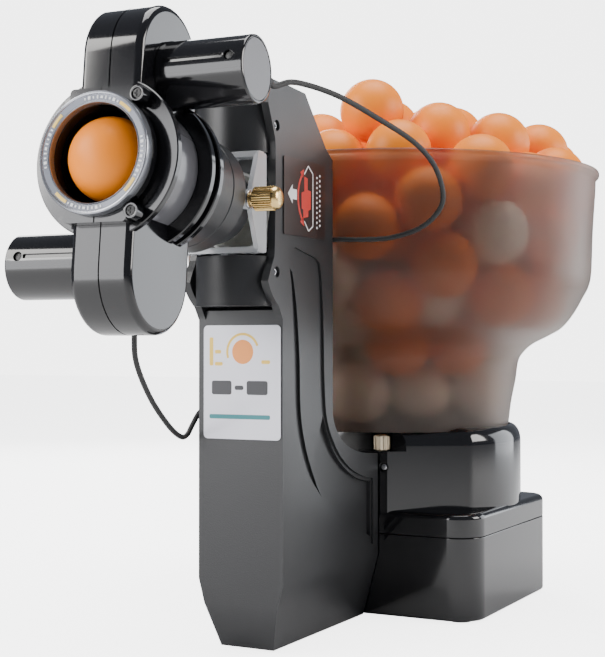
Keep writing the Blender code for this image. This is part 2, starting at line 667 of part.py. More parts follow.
def build_tilt_tube(tilt):
    """Rear tube with its collar, pivot pin and lock knob."""
    points = [(20.5, -9.0), (21.4, -9.0), (21.4, 14.0), (29.5, 14.0), (29.5, 42.6), (28.0, 43.5),
              (20.5, 43.5)]
    tube = add_object("tilt_tube", turned(head_profile(points), "Y", (0, 0, PIVOT_Z)), BLACK_SATIN)
    pin_in = cylinder("X", (0, PIVOT_Y, PIVOT_Z), 2.3, 20.9, 40.0, 16)
    pin_out = cylinder("X", (0, PIVOT_Y, PIVOT_Z), 2.3, -40.0, -20.9, 16)
    cut(tube, pin_in, pin_out)
    pin = add_object("tilt_pin", cylinder("X", (0, PIVOT_Y, PIVOT_Z), 2.2, -26.5, -21.0, 16), STEEL)
    headed = [(0, 21.0), (2.2, 21.0), (2.2, 24.8), (5.0, 24.8), (5.0, 25.7), (0, 25.7)]
    washer = add_object("tilt_washer", turned(headed, "X", (0, PIVOT_Y, PIVOT_Z), 20), STEEL)
    profile = [(0, KNOB_IN_X), (3.6, KNOB_IN_X), (3.6, 28.0), (KNOB_R, 28.0),
               (KNOB_R, KNOB_OUT_X - 2.4), (KNOB_R - 0.8, KNOB_OUT_X - 0.8), (KNOB_R - 2.4, KNOB_OUT_X),
               (0, KNOB_OUT_X)]
    knob = add_object("tilt_knob", turned(profile, "X", (0, PIVOT_Y, PIVOT_Z), 24), BRASS, smooth=True)
    for piece in (tube, pin, washer, knob):
        place_in_parent(piece, tilt)


def housing_outline(inset):
    """Side outline of the wheel housing as (y, z): a tall slot shape."""
    radius = (HOUSING_FRONT_Q - HOUSING_REAR_Q) / 2
    middle_y = PIVOT_Y - (HOUSING_FRONT_Q + HOUSING_REAR_Q) / 2
    reach = HOUSING_HALF_U - radius
    points = arc((middle_y, PIVOT_Z + reach), radius - inset, 0, 180, 14)
    points += arc((middle_y, PIVOT_Z - reach), radius - inset, 180, 360, 14)
    return points


def build_housing_half(name, side, roll):
    """One half of the head: wheel housing, barrel bulge and its ribs."""
    axis = (0, 0, PIVOT_Z)
    half = add_object(name, prism(housing_outline(0), "X", -HOUSING_HALF_X, HOUSING_HALF_X), BLACK_GLOSS)
    profile = [(15, HOUSING_REAR_Q + 0.6), (BARREL_R, HOUSING_REAR_Q + 0.6)]
    for low, high in RIBS_Q:
        profile += [(BARREL_R, low), (RIB_R, low), (RIB_R, high), (BARREL_R, high)]
    profile = profile[:-1] + [(15, RIBS_Q[-1][1])]
    join(half, turned(head_profile(profile), "Y", axis))
    wheel_y = PIVOT_Y - WHEEL_Q
    rooms = [cylinder("X", (0, wheel_y, PIVOT_Z + up * WHEEL_U), WHEEL_R + 1.0, -WHEEL_HALF_X - 1,
                      WHEEL_HALF_X + 1)
             for up in (-1, 1)]
    bore = cylinder("Y", axis, BARREL_BORE_R, PIVOT_Y - 130, PIVOT_Y - 30)
    hole = cylinder("X", (0, wheel_y, PIVOT_Z + side * WHEEL_U), 3.2, -40, 40, 16)
    other = box((-60, PIVOT_Y - 130, 100), (0.15, PIVOT_Y - 20, 400))
    motor_room = cylinder("X", (0, wheel_y, PIVOT_Z + side * WHEEL_U), COVER_R + 2.0,
                          HOUSING_HALF_X + 0.05, 90)
    cut(half, *rooms, bore, hole, mirrored(motor_room, side), mirrored(other, side))
    place_in_parent(half, roll)


def build_drive(level, side, spin):
    """One shooting wheel on its motor shaft, its motor and its cover. Side is the motor's side."""
    centre = (0, PIVOT_Y - WHEEL_Q, PIVOT_Z + side * WHEEL_U)
    hub_profile = [(1.6, -WHEEL_HALF_X), (4.5, -WHEEL_HALF_X), (4.5, -2.5), (WHEEL_R - 5.3, -2.5),
                   (WHEEL_R - 5.3, 2.5), (4.5, 2.5), (4.5, WHEEL_HALF_X), (1.6, WHEEL_HALF_X)]
    tyre_profile = [(WHEEL_R - 5, -WHEEL_HALF_X + 1), (WHEEL_R, -WHEEL_HALF_X + 1), (WHEEL_R - 1.2, 0),
                    (WHEEL_R, WHEEL_HALF_X - 1), (WHEEL_R - 5, WHEEL_HALF_X - 1)]
    hub = add_object(f"{level}_wheel_hub", turned(hub_profile, "X", centre, 32), WHITE_PLASTIC)
    tyre = add_object(f"{level}_wheel_tyre", turned(tyre_profile, "X", centre, 40), GREY_RUBBER)
    shaft = add_object(f"{level}_motor_shaft", mirrored(cylinder("X", centre, 1.5, -8.0, 17.8, 12), side),
                       STEEL)
    for piece in (hub, tyre, shaft):
        place_in_parent(piece, spin)


def build_motor(level, side, roll):
    """Motor can and its cover on the side of the housing."""
    centre = (0, PIVOT_Y - WHEEL_Q, PIVOT_Z + side * WHEEL_U)
    can = [(0, 18.1), (4, 18.1), (4, 20.0), (MOTOR_R, 20.0), (MOTOR_R, 50.0), (0, 50.0)]
    motor = add_object(f"{level}_motor", mirrored(turned(can, "X", centre, 32), side), STEEL)
    start = HOUSING_HALF_X + GAP
    cup = [(COVER_R - 2.2, start), (COVER_R + 1.5, start), (COVER_R + 1.5, start + 4), (COVER_R, start + 5),
           (COVER_R, COVER_END_X), (0, COVER_END_X), (0, COVER_END_X - 2.5), (COVER_R - 2.2,
                                                                              COVER_END_X - 2.5)]
    cover = add_object(f"{level}_motor_cover", mirrored(turned(cup, "X", centre, 40), side), BLACK_GLOSS)
    for piece in (motor, cover):
        place_in_parent(piece, roll)


def build_muzzle(roll):
    """Muzzle block with its round backing, ring bezel and two side screws."""
    corner = (MUZZLE_HALF_X, MUZZLE_HALF_U)
    outline = [(x, PIVOT_Z + z) for x, z in rounded_rectangle((-corner[0], -corner[1]), corner, 2, 3)]
    low = PIVOT_Y - MUZZLE_Q
    block = add_object("muzzle_block", prism(outline, "Y", low, PIVOT_Y - HOUSING_FRONT_Q - GAP),
                       BLACK_GLOSS)
    disc_front = low + 0.4
    disc_rear = PIVOT_Y - HOUSING_FRONT_Q - 2 * GAP
    join(block, cylinder("Y", (0, 0, PIVOT_Z), MUZZLE_DISC_R, disc_front, disc_rear))
    cut(block, cylinder("Y", (0, 0, PIVOT_Z), BARREL_BORE_R, low - 5, PIVOT_Y - 90))
    for x, z in MUZZLE_BOSSES:
        boss = cylinder("Y", (x, 0, PIVOT_Z + z), 3.6, low - 1.4, low + 4, 16)
        join(block, boss)
        cut(block, cylinder("Y", (x, 0, PIVOT_Z + z), 1.9, low - 6, low + 3, 12))
    profile = [(BARREL_BORE_R, MUZZLE_Q + GAP), (RING_R, MUZZLE_Q + GAP), (RING_R, RING_Q - 0.8),
               (RING_R - 0.8, RING_Q), (BARREL_BORE_R, RING_Q)]
    ring = add_object("muzzle_ring", turned(head_profile(profile), "Y", (0, 0, PIVOT_Z)), SILVER_LABEL,
                      smooth=True)
    pieces = [block, ring]
    for number, (x, z) in enumerate(MUZZLE_BOSSES, 1):
        screw = cylinder("Y", (x, 0, PIVOT_Z + z), 1.6, low - 1.0, low + 2.6, 12)
        pieces.append(add_object(f"muzzle_screw_{number}", screw, STEEL))
    for piece in pieces:
        place_in_parent(piece, roll)


def build_axes():
    """Nested empties on the pan, tilt, roll and wheel axes. Each keeps its place before any turn."""
    pan = add_empty("pan_axis", (0, PAN_Y, 0), (0, 0, PAN_REST_DEG), None)
    pan["unturned"] = (0, PAN_Y, 0)
    tilt = add_empty("tilt_axis", (0, PIVOT_Y - PAN_Y, PIVOT_Z), (-TILT_REST_DEG, 0, 0), pan)
    tilt["unturned"] = (0, PIVOT_Y, PIVOT_Z)
    spins = {}
    for level, side in (("upper", 1), ("lower", -1)):
        place = (0, -WHEEL_Q, side * WHEEL_U)
        spins[level] = add_empty(f"{level}_wheel_axis", place, (0, 0, 0), tilt)
        spins[level]["unturned"] = (0, PIVOT_Y - WHEEL_Q, PIVOT_Z + side * WHEEL_U)
    return pan, tilt, spins


def centre_footprint():
    """Move everything so that the origin lies under the middle of the overall box."""
    for obj in bpy.data.objects:
        if obj.parent is None:
            obj.location.y -= MIDDLE_Y * MM


def main():
    """Build every sub-part."""
    clear_scene()
    build_pads()
    build_base_tray()
    build_base_cover()
    build_hopper()
    build_lock_screws()
    build_feed()
    build_electronics()
    build_column_half("column_right", 1)
    build_column_half("column_left", -1)
    build_duct()
    build_column_trim()
    pan, tilt, spins = build_axes()
    build_yoke(pan)
    build_tilt_tube(tilt)
    build_housing_half("housing_right", 1, tilt)
    build_housing_half("housing_left", -1, tilt)
    for level, side in (("upper", 1), ("lower", -1)):
        build_drive(level, side, spins[level])
        build_motor(level, side, tilt)
    build_muzzle(tilt)
    build_leads(tilt)
    centre_footprint()
    bpy.context.view_layer.update()


main()
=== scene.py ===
"""Table-tennis ball robot: the visual model over the CAD frame.

Lengths are millimetres in the part's own layout; ROW turns them into metres in the row frame.
"""
import sys
import logging
import math
from dataclasses import dataclass, field
from enum import Enum
from typing import Callable, Dict, List, Optional, Sequence, Tuple

import bmesh
import bpy
import numpy as np
from mathutils import Matrix, Vector


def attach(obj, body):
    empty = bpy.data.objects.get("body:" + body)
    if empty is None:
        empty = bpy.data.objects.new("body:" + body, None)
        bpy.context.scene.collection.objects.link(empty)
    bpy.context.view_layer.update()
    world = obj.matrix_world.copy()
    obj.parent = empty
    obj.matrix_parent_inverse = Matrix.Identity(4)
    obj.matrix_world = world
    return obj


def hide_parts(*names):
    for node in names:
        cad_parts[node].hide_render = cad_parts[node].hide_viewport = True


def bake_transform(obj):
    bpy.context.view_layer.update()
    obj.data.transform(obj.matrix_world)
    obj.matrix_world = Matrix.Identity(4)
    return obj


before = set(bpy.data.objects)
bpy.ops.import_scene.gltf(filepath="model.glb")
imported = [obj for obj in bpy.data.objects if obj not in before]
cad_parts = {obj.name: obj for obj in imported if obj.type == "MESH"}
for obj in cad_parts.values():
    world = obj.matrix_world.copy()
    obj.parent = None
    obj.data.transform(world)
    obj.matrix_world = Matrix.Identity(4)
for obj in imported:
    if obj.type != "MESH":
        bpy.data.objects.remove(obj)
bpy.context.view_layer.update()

log = logging.getLogger("robot")
Point2 = Tuple[float, float]
Point3 = Tuple[float, float, float]

ROW = Matrix.Diagonal((0.001, 0.001, 0.001, 1.0)) @ Matrix.Translation((0, -1.393, 0))
PAN_Y, PIVOT_Y, PIVOT_Z = -109.0, -129.7, 241.8
PAN = (Matrix.Translation((0, PAN_Y, 0)) @ Matrix.Rotation(math.radians(3.8), 4, "Z")
       @ Matrix.Translation((0, -PAN_Y, 0)))
HEAD = (PAN @ Matrix.Translation((0, PIVOT_Y, PIVOT_Z)) @ Matrix.Rotation(math.radians(-5.8), 4, "X")
        @ Matrix.Translation((0, -PIVOT_Y, -PIVOT_Z)))
STILL = Matrix.Identity(4)
STEPS = 96
HOPPER_Y = 105.6


class Axis(Enum):
    """Direction that a prism or a turned shape runs along."""

    X = "X"
    Y = "Y"
    Z = "Z"


# ---------------------------------------------------------------- looks

def surface_group() -> bpy.types.NodeTree:
    """Return the shared group that breaks up a colour, a roughness and a normal.

    Returns:
        The node group, with outputs Color, Roughness and Normal.
    """
    name = "surface_detail"
    group = bpy.data.node_groups.get(name)
    if group:
        return group
    group = bpy.data.node_groups.new(name, "ShaderNodeTree")
    face = group.interface
    for label, kind, value in (("Color", "NodeSocketColor", (0.5, 0.5, 0.5, 1)), ("Roughness", "NodeSocketFloat", 0.4),
                               ("Grain Scale", "NodeSocketFloat", 900.0), ("Grain", "NodeSocketFloat", 0.1),
                               ("Variation", "NodeSocketFloat", 0.1)):
        face.new_socket(label, in_out="INPUT", socket_type=kind).default_value = value
    for label, kind in (("Color", "NodeSocketColor"), ("Roughness", "NodeSocketFloat"), ("Normal", "NodeSocketVector")):
        face.new_socket(label, in_out="OUTPUT", socket_type=kind)
    nodes, links = group.nodes, group.links
    entry, leave = nodes.new("NodeGroupInput"), nodes.new("NodeGroupOutput")
    where = nodes.new("ShaderNodeTexCoord")
    broad, fine = nodes.new("ShaderNodeTexNoise"), nodes.new("ShaderNodeTexNoise")
    broad.inputs["Scale"].default_value = 22.0
    broad.inputs["Detail"].default_value = 4.0
    fine.inputs["Detail"].default_value = 2.0
    links.new(where.outputs["Object"], broad.inputs["Vector"])
    links.new(where.outputs["Object"], fine.inputs["Vector"])
    links.new(entry.outputs["Grain Scale"], fine.inputs["Scale"])
    centred = nodes.new("ShaderNodeMath")
    centred.operation = "SUBTRACT"
    centred.inputs[1].default_value = 0.5
    links.new(broad.outputs["Fac"], centred.inputs[0])
    scaled = nodes.new("ShaderNodeMath")
    scaled.operation = "MULTIPLY_ADD"
    links.new(centred.outputs[0], scaled.inputs[0])
    links.new(entry.outputs["Variation"], scaled.inputs[1])
    links.new(entry.outputs["Roughness"], scaled.inputs[2])
    tone = nodes.new("ShaderNodeMath")
    tone.operation = "MULTIPLY_ADD"
    tone.inputs[2].default_value = 1.0
    links.new(centred.outputs[0], tone.inputs[0])
    links.new(entry.outputs["Variation"], tone.inputs[1])
    shade = nodes.new("ShaderNodeHueSaturation")
    links.new(entry.outputs["Color"], shade.inputs["Color"])
    links.new(tone.outputs[0], shade.inputs["Value"])
    bump = nodes.new("ShaderNodeBump")
    bump.inputs["Distance"].default_value = 0.0002
    links.new(entry.outputs["Grain"], bump.inputs["Strength"])
    links.new(fine.outputs["Fac"], bump.inputs["Height"])
    links.new(shade.outputs["Color"], leave.inputs["Color"])
    links.new(scaled.outputs[0], leave.inputs["Roughness"])
    links.new(bump.outputs["Normal"], leave.inputs["Normal"])
    return group


@dataclass(frozen=True)
class Look:
    """A finish: one Principled shader fed by the shared surface group."""

    name: str
    color: Tuple[float, float, float]
    roughness: float = 0.4
    metallic: float = 0.0
    grain: float = 0.0
    grain_scale: float = 900.0
    variation: float = 0.1
    coat: float = 0.0
    transmission: float = 0.0
    ior: float = 1.5
    specular: float = 0.5
    anisotropic: float = 0.0
    subsurface: float = 0.0

    def material(self) -> bpy.types.Material:
        """Return the material, made on first use."""
        made = bpy.data.materials.get("look_" + self.name)
        if made:
            return made
        made = bpy.data.materials.new("look_" + self.name)
        made.use_nodes = True
        nodes, links = made.node_tree.nodes, made.node_tree.links
        shader = nodes["Principled BSDF"]
        detail = nodes.new("ShaderNodeGroup")
        detail.node_tree = surface_group()
        detail.inputs["Color"].default_value = (*self.color, 1.0)
        detail.inputs["Roughness"].default_value = self.roughness
        detail.inputs["Grain Scale"].default_value = self.grain_scale
        detail.inputs["Grain"].default_value = self.grain
        detail.inputs["Variation"].default_value = self.variation
        links.new(detail.outputs["Color"], shader.inputs["Base Color"])
        links.new(detail.outputs["Roughness"], shader.inputs["Roughness"])
        if self.grain > 0:
            links.new(detail.outputs["Normal"], shader.inputs["Normal"])
        shader.inputs["Metallic"].default_value = self.metallic
        shader.inputs["Coat Weight"].default_value = self.coat
        shader.inputs["Coat Roughness"].default_value = 0.06
        shader.inputs["Transmission Weight"].default_value = self.transmission
        shader.inputs["IOR"].default_value = self.ior
        shader.inputs["Specular IOR Level"].default_value = self.specular
        shader.inputs["Anisotropic"].default_value = self.anisotropic
        shader.inputs["Subsurface Weight"].default_value = self.subsurface
        shader.inputs["Subsurface Scale"].default_value = 0.004
        made.diffuse_color = (*self.color, 1.0)
        return made


SATIN = Look("black_satin", (0.018, 0.0185, 0.020), 0.36, grain=0.3, grain_scale=1500, variation=0.12)
GLOSS = Look("black_gloss", (0.006, 0.006, 0.007), 0.11, variation=0.04, coat=0.35)
SMOKE = Look("smoky_frost", (0.47, 0.39, 0.34), 0.37, transmission=0.96, ior=1.3, variation=0.05,
             grain=0.05, grain_scale=600)
CLEAR = Look("clear", (0.86, 0.88, 0.91), 0.06, transmission=0.62, ior=1.49, variation=0.02)
BRASS = Look("brass", (0.83, 0.58, 0.24), 0.24, 1.0, variation=0.1, anisotropic=0.3)
PALE_BRASS = Look("pale_brass", (0.80, 0.68, 0.50), 0.30, 1.0, variation=0.12)
STEEL = Look("steel", (0.66, 0.66, 0.68), 0.27, 1.0, variation=0.1)
RUBBER = Look("black_rubber", (0.018, 0.018, 0.018), 0.62, grain=0.2, variation=0.15)
FITTING = Look("black_fittings", (0.03, 0.03, 0.03), 0.5, grain=0.2, variation=0.1)
TYRE = Look("wheel_rubber", (0.16, 0.16, 0.17), 0.8, grain=0.6, grain_scale=700, variation=0.2)
WHITE = Look("white_plastic", (0.72, 0.72, 0.69), 0.45, variation=0.05)
BOARD = Look("board_green", (0.02, 0.13, 0.05), 0.4, variation=0.3)
BEZEL = Look("bezel_silver", (0.30, 0.31, 0.34), 0.25, 0.8, variation=0.03)
SILVER = Look("silver_label", (0.66, 0.66, 0.72), 0.36, 0.2, variation=0.03)
RING_GREY = Look("ring_grey", (0.13, 0.14, 0.17), 0.32, 0.3, variation=0.03)
DARK = Look("dark_label", (0.022, 0.013, 0.012), 0.3, variation=0.05)
# Motor cover end caps: this flat grey is a painted reflection, standing in for the sheen on a glossy black cap face.
CAP_REFLECTION_GREY = Look("cap_painted_reflection", (0.17, 0.17, 0.18), 0.35, grain=0.2, variation=0.05)
SLEEVE = Look("sleeve_grey", (0.10, 0.10, 0.11), 0.2, variation=0.05, coat=0.3)
ORANGE = Look("ball_orange", (1.0, 0.27, 0.006), 0.45, variation=0.02, specular=0.35)
BALL_WHITE = Look("ball_white", (0.86, 0.85, 0.82), 0.42, variation=0.02, subsurface=0.2)
INK_ORANGE = Look("ink_orange", (0.90, 0.30, 0.05), 0.4, variation=0.02)
INK_YELLOW = Look("ink_yellow", (0.88, 0.58, 0.08), 0.4, variation=0.02)
INK_TEAL = Look("ink_teal", (0.02, 0.20, 0.22), 0.4, variation=0.02)
INK_DARK = Look("ink_dark", (0.03, 0.03, 0.035), 0.4, variation=0.02)
INK_RED = Look("ink_red", (0.55, 0.03, 0.02), 0.4, variation=0.02)
INK_WHITE = Look("ink_white", (0.80, 0.80, 0.80), 0.4, variation=0.02)


# ---------------------------------------------------------------- shapes in millimetres

def prism(outline: Sequence[Point2], axis: Axis, low: float, high: float,
          hole: Optional[Sequence[Point2]] = None) -> bmesh.types.BMesh:
    """Extrude an outline, or the band between it and a hole with as many points.

    Args:
        outline: the outer outline, holding the two coordinates other than the axis in order.
        axis: direction of the extrusion.
        low: start along the axis.
        high: end along the axis.
        hole: inner outline of the same count, if the shape is a band.

    Returns:
        A closed bmesh.
    """
    bm = bmesh.new()
    loops: List[List[bmesh.types.BMVert]] = []
    for line in (outline, hole) if hole else (outline,):
        for level in (low, high):
            spots = {Axis.X: [(level, a, b) for a, b in line], Axis.Y: [(a, level, b) for a, b in line],
                     Axis.Z: [(a, b, level) for a, b in line]}[axis]
            loops.append([bm.verts.new(spot) for spot in spots])
    count = len(outline)
    pairs = [(0, 1), (2, 3), (0, 2), (1, 3)] if hole else [(0, 1)]
    for first, second in pairs:
        for i in range(count):
            j = (i + 1) % count
            bm.faces.new((loops[first][i], loops[first][j], loops[second][j], loops[second][i]))
    if not hole:
        bm.faces.new(loops[0])
        bm.faces.new(loops[1])
    bmesh.ops.recalc_face_normals(bm, faces=bm.faces[:])
    return bm


def block(low: Point3, high: Point3) -> bmesh.types.BMesh:
    """Make a box between two corners."""
    plan = [(low[0], low[1]), (high[0], low[1]), (high[0], high[1]), (low[0], high[1])]
    return prism(plan, Axis.Z, low[2], high[2])


def turned(profile: Sequence[Point2], axis: Axis = Axis.Z, centre: Point3 = (0, 0, 0),
           steps: int = STEPS) -> bmesh.types.BMesh:
    """Spin a closed profile of (radius, height) points; points at radius 0 are poles.

    Args:
        profile: the closed section.
        axis: direction of the turning axis.
        centre: a point of the axis.
        steps: segments round the axis.

    Returns:
        A closed bmesh.
    """
    bm = bmesh.new()
    rings = []
    for radius, height in profile:
        ring = []
        for i in range(1 if radius == 0 else steps):
            angle = 2 * math.pi * (i + 0.5) / steps
            a, b = radius * math.cos(angle), radius * math.sin(angle)
            spot = {Axis.Z: (a, b, height), Axis.X: (height, a, b), Axis.Y: (b, height, a)}[axis]
            ring.append(bm.verts.new(Vector(spot) + Vector(centre)))
        rings.append(ring)
    for one, two in zip(rings, rings[1:] + rings[:1]):
        if len(one) == 1 and len(two) == 1:
            continue
        for i in range(steps):
            j = (i + 1) % steps
            if len(one) == 1:
                bm.faces.new((one[0], two[j], two[i]))
            elif len(two) == 1:
                bm.faces.new((one[i], one[j], two[0]))
            else:
                bm.faces.new((one[i], one[j], two[j], two[i]))
    bmesh.ops.recalc_face_normals(bm, faces=bm.faces[:])
    return bm


def rod(axis: Axis, centre: Point3, radius: float, low: float, high: float, steps: int = STEPS) -> bmesh.types.BMesh:
    """Make a solid cylinder between two heights."""
    return turned([(0, low), (radius, low), (radius, high), (0, high)], axis, centre, steps)


def arc(centre: Point2, radius: float, first: float, last: float, steps: int) -> List[Point2]:
    """Points of a circular arc in degrees, both ends included."""
    return [(centre[0] + radius * math.cos(math.radians(first + (last - first) * i / steps)),
             centre[1] + radius * math.sin(math.radians(first + (last - first) * i / steps)))
            for i in range(steps + 1)]


def bend(start: Point2, control: Point2, end: Point2, steps: int) -> List[Point2]:
    """Points of a quadratic curve, both ends included."""
    points = []
    for i in range(steps + 1):
        t = i / steps
        points.append(tuple((1 - t) ** 2 * a + 2 * t * (1 - t) * c + t * t * b
                            for a, c, b in zip(start, control, end)))
    return points


def rounded(low: Point2, high: Point2, radius: float, steps: int = 12) -> List[Point2]:
    """Outline of a rectangle with round corners."""
    points = arc((high[0] - radius, low[1] + radius), radius, -90, 0, steps)
    points += arc((high[0] - radius, high[1] - radius), radius, 0, 90, steps)
    points += arc((low[0] + radius, high[1] - radius), radius, 90, 180, steps)
    return points + arc((low[0] + radius, low[1] + radius), radius, 180, 270, steps)


def smooth_line(points: Sequence[Sequence[float]], share: int = 6, closed: bool = False) -> List[Tuple[float, ...]]:
    """Points of the smooth curve through hand-chosen ones, in two or three dimensions."""
    vectors = [np.array(point, float) for point in points]
    if closed:
        padded = [vectors[-1]] + vectors + vectors[:2]
    else:
        padded = [2 * vectors[0] - vectors[1]] + vectors + [2 * vectors[-1] - vectors[-2]]
    result = []
    for a, b, c, d in zip(padded, padded[1:], padded[2:], padded[3:]):
        for step in range(share):
            t = step / share
            spot = 0.5 * (2 * b + (c - a) * t + (2 * a - 5 * b + 4 * c - d) * t ** 2 + (3 * b - a - 3 * c + d) * t ** 3)
            result.append(tuple(float(value) for value in spot))
    if not closed:
        result.append(tuple(float(value) for value in vectors[-1]))
    return result


def soften(bm: bmesh.types.BMesh, radius: float, segments: int, test: Callable[[Vector], bool]) -> bmesh.types.BMesh:
    """Round the edges whose two ends pass a test.

    Args:
        bm: the shape.
        radius: width of the rounding.
        segments: steps of the rounding.
        test: says whether a point belongs to the edge loop.

    Returns:
        The same bmesh.
    """
    chosen = [e for e in bm.edges if all(test(v.co) for v in e.verts) and e.calc_face_angle(0) > 0.5]
    bmesh.ops.bevel(bm, geom=chosen, offset=radius, segments=segments, profile=0.5, affect="EDGES",
                    clamp_overlap=True)
    return bm


def mirror_x(bm: bmesh.types.BMesh, side: int) -> bmesh.types.BMesh:
    """Mirror a shape across x = 0 when side is -1."""
    if side < 0:
        bmesh.ops.scale(bm, verts=bm.verts[:], vec=Vector((-1, 1, 1)))
        bmesh.ops.reverse_faces(bm, faces=bm.faces[:])
    return bm


def link(name: str, bm: bmesh.types.BMesh) -> bpy.types.Object:
    """Put a bmesh into the scene as an object."""
    mesh = bpy.data.meshes.new(name)
    bm.to_mesh(mesh)
    bm.free()
    obj = bpy.data.objects.new(name, mesh)
    bpy.context.collection.objects.link(obj)
    return obj


@dataclass
class Piece:
    """One visible piece while it is being made."""

    name: str
    look: Look
    body: str
    place: Matrix = field(default_factory=lambda: STILL)
    replaces: Tuple[str, ...] = ()
    slot: str = ""

    def build(self, base: bmesh.types.BMesh, joins: Sequence[bmesh.types.BMesh] = (),
              cuts: Sequence[bmesh.types.BMesh] = (), bevel: float = 0.3, segments: int = 2,
              sharp: float = 38.0) -> bpy.types.Object:
        """Fuse, cut, round and place the piece, then tie it to its body.

        Args:
            base: main shape in millimetres.
            joins: shapes to fuse.
            cuts: shapes to take away.
            bevel: edge rounding in millimetres, 0 for none.
            segments: steps of the rounding.
            sharp: angle in degrees above which an edge stays sharp.

        Returns:
            The finished object.
        """
        obj = link(self.name, base)
        helpers = []
        for operation, tools in (("UNION", joins), ("DIFFERENCE", cuts)):
            for number, tool in enumerate(tools):
                helper = link(f"{self.name}_{operation}_{number}", tool)
                modifier = obj.modifiers.new(operation, "BOOLEAN")
                modifier.operation, modifier.solver, modifier.object = operation, "EXACT", helper
                helpers.append(helper)
        if bevel > 0:
            rounding = obj.modifiers.new("rounding", "BEVEL")
            rounding.width, rounding.segments, rounding.limit_method = bevel, segments, "ANGLE"
            rounding.angle_limit, rounding.use_clamp_overlap = math.radians(32), True
            rounding.miter_outer = "MITER_ARC"
        bpy.context.view_layer.update()
        mesh = bpy.data.meshes.new_from_object(obj.evaluated_get(bpy.context.evaluated_depsgraph_get()))
        obj.modifiers.clear()
        obj.data = mesh
        for helper in helpers:
            bpy.data.objects.remove(helper, do_unlink=True)
        mesh.name = self.name
        return self.finish(obj, sharp)

    def finish(self, obj: bpy.types.Object, sharp: float = 38.0) -> bpy.types.Object:
        """Move the mesh into the row frame, shade it, dress it and tie it to its body."""
        mesh = obj.data
        bm = bmesh.new()
        bm.from_mesh(mesh)
        bmesh.ops.remove_doubles(bm, verts=bm.verts[:], dist=0.002)
        bmesh.ops.recalc_face_normals(bm, faces=bm.faces[:])
        bm.transform(ROW @ self.place)
        bm.to_mesh(mesh)
        bm.free()
        mesh.shade_smooth()
        mesh.set_sharp_from_angle(angle=math.radians(sharp))
        mesh.materials.clear()
        mesh.materials.append(self.look.material())
        weighted = obj.modifiers.new("weighted", "WEIGHTED_NORMAL")
        weighted.keep_sharp = True
        bpy.context.view_layer.update()
        final = bpy.data.meshes.new_from_object(obj.evaluated_get(bpy.context.evaluated_depsgraph_get()))
        obj.modifiers.clear()
        obj.data = final
        final.name = self.name
        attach(obj, self.body)
        if self.replaces:
            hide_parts(*self.replaces)
        log.info("%s: %d faces on %s", self.name, len(final.polygons), self.body)
        return obj


# ---------------------------------------------------------------- geometry nodes

def socket_id(tree: bpy.types.NodeTree, name: str) -> str:
    """Return the identifier of a named input."""
    return next(item.identifier for item in tree.interface.items_tree
                if item.item_type == "SOCKET" and item.in_out == "INPUT" and item.name == name)


def ring_tree() -> bpy.types.NodeTree:
    """Tree that sets long rods round a circle in the XY plane, each along Z."""
    tree = bpy.data.node_groups.new("rods_on_circle", "GeometryNodeTree")
    face = tree.interface
    face.new_socket("Geometry", in_out="INPUT", socket_type="NodeSocketGeometry")
    for label, kind, value in (("Count", "NodeSocketInt", 24), ("Radius", "NodeSocketFloat", 6.0),
                               ("Rod Radius", "NodeSocketFloat", 0.4), ("Length", "NodeSocketFloat", 8.0),
                               ("Sides", "NodeSocketInt", 6)):
        face.new_socket(label, in_out="INPUT", socket_type=kind).default_value = value
    face.new_socket("Material", in_out="INPUT", socket_type="NodeSocketMaterial")
    face.new_socket("Geometry", in_out="OUTPUT", socket_type="NodeSocketGeometry")
    nodes, links = tree.nodes, tree.links
    entry, leave = nodes.new("NodeGroupInput"), nodes.new("NodeGroupOutput")
    circle, rods = nodes.new("GeometryNodeMeshCircle"), nodes.new("GeometryNodeMeshCylinder")
    links.new(entry.outputs["Count"], circle.inputs["Vertices"])
    links.new(entry.outputs["Radius"], circle.inputs["Radius"])
    links.new(entry.outputs["Sides"], rods.inputs["Vertices"])
    links.new(entry.outputs["Rod Radius"], rods.inputs["Radius"])
    links.new(entry.outputs["Length"], rods.inputs["Depth"])
    where, turn = nodes.new("GeometryNodeInputPosition"), nodes.new("FunctionNodeAlignRotationToVector")
    turn.axis = "X"
    turn.pivot_axis = "Z"
    links.new(where.outputs[0], turn.inputs["Vector"])
    instances, real = nodes.new("GeometryNodeInstanceOnPoints"), nodes.new("GeometryNodeRealizeInstances")
    links.new(circle.outputs["Mesh"], instances.inputs["Points"])
    links.new(rods.outputs["Mesh"], instances.inputs["Instance"])
    links.new(turn.outputs[0], instances.inputs["Rotation"])
    paint = nodes.new("GeometryNodeSetMaterial")
    links.new(instances.outputs[0], real.inputs[0])
    links.new(real.outputs[0], paint.inputs["Geometry"])
    links.new(entry.outputs["Material"], paint.inputs["Material"])
    links.new(paint.outputs[0], leave.inputs[0])
    return tree


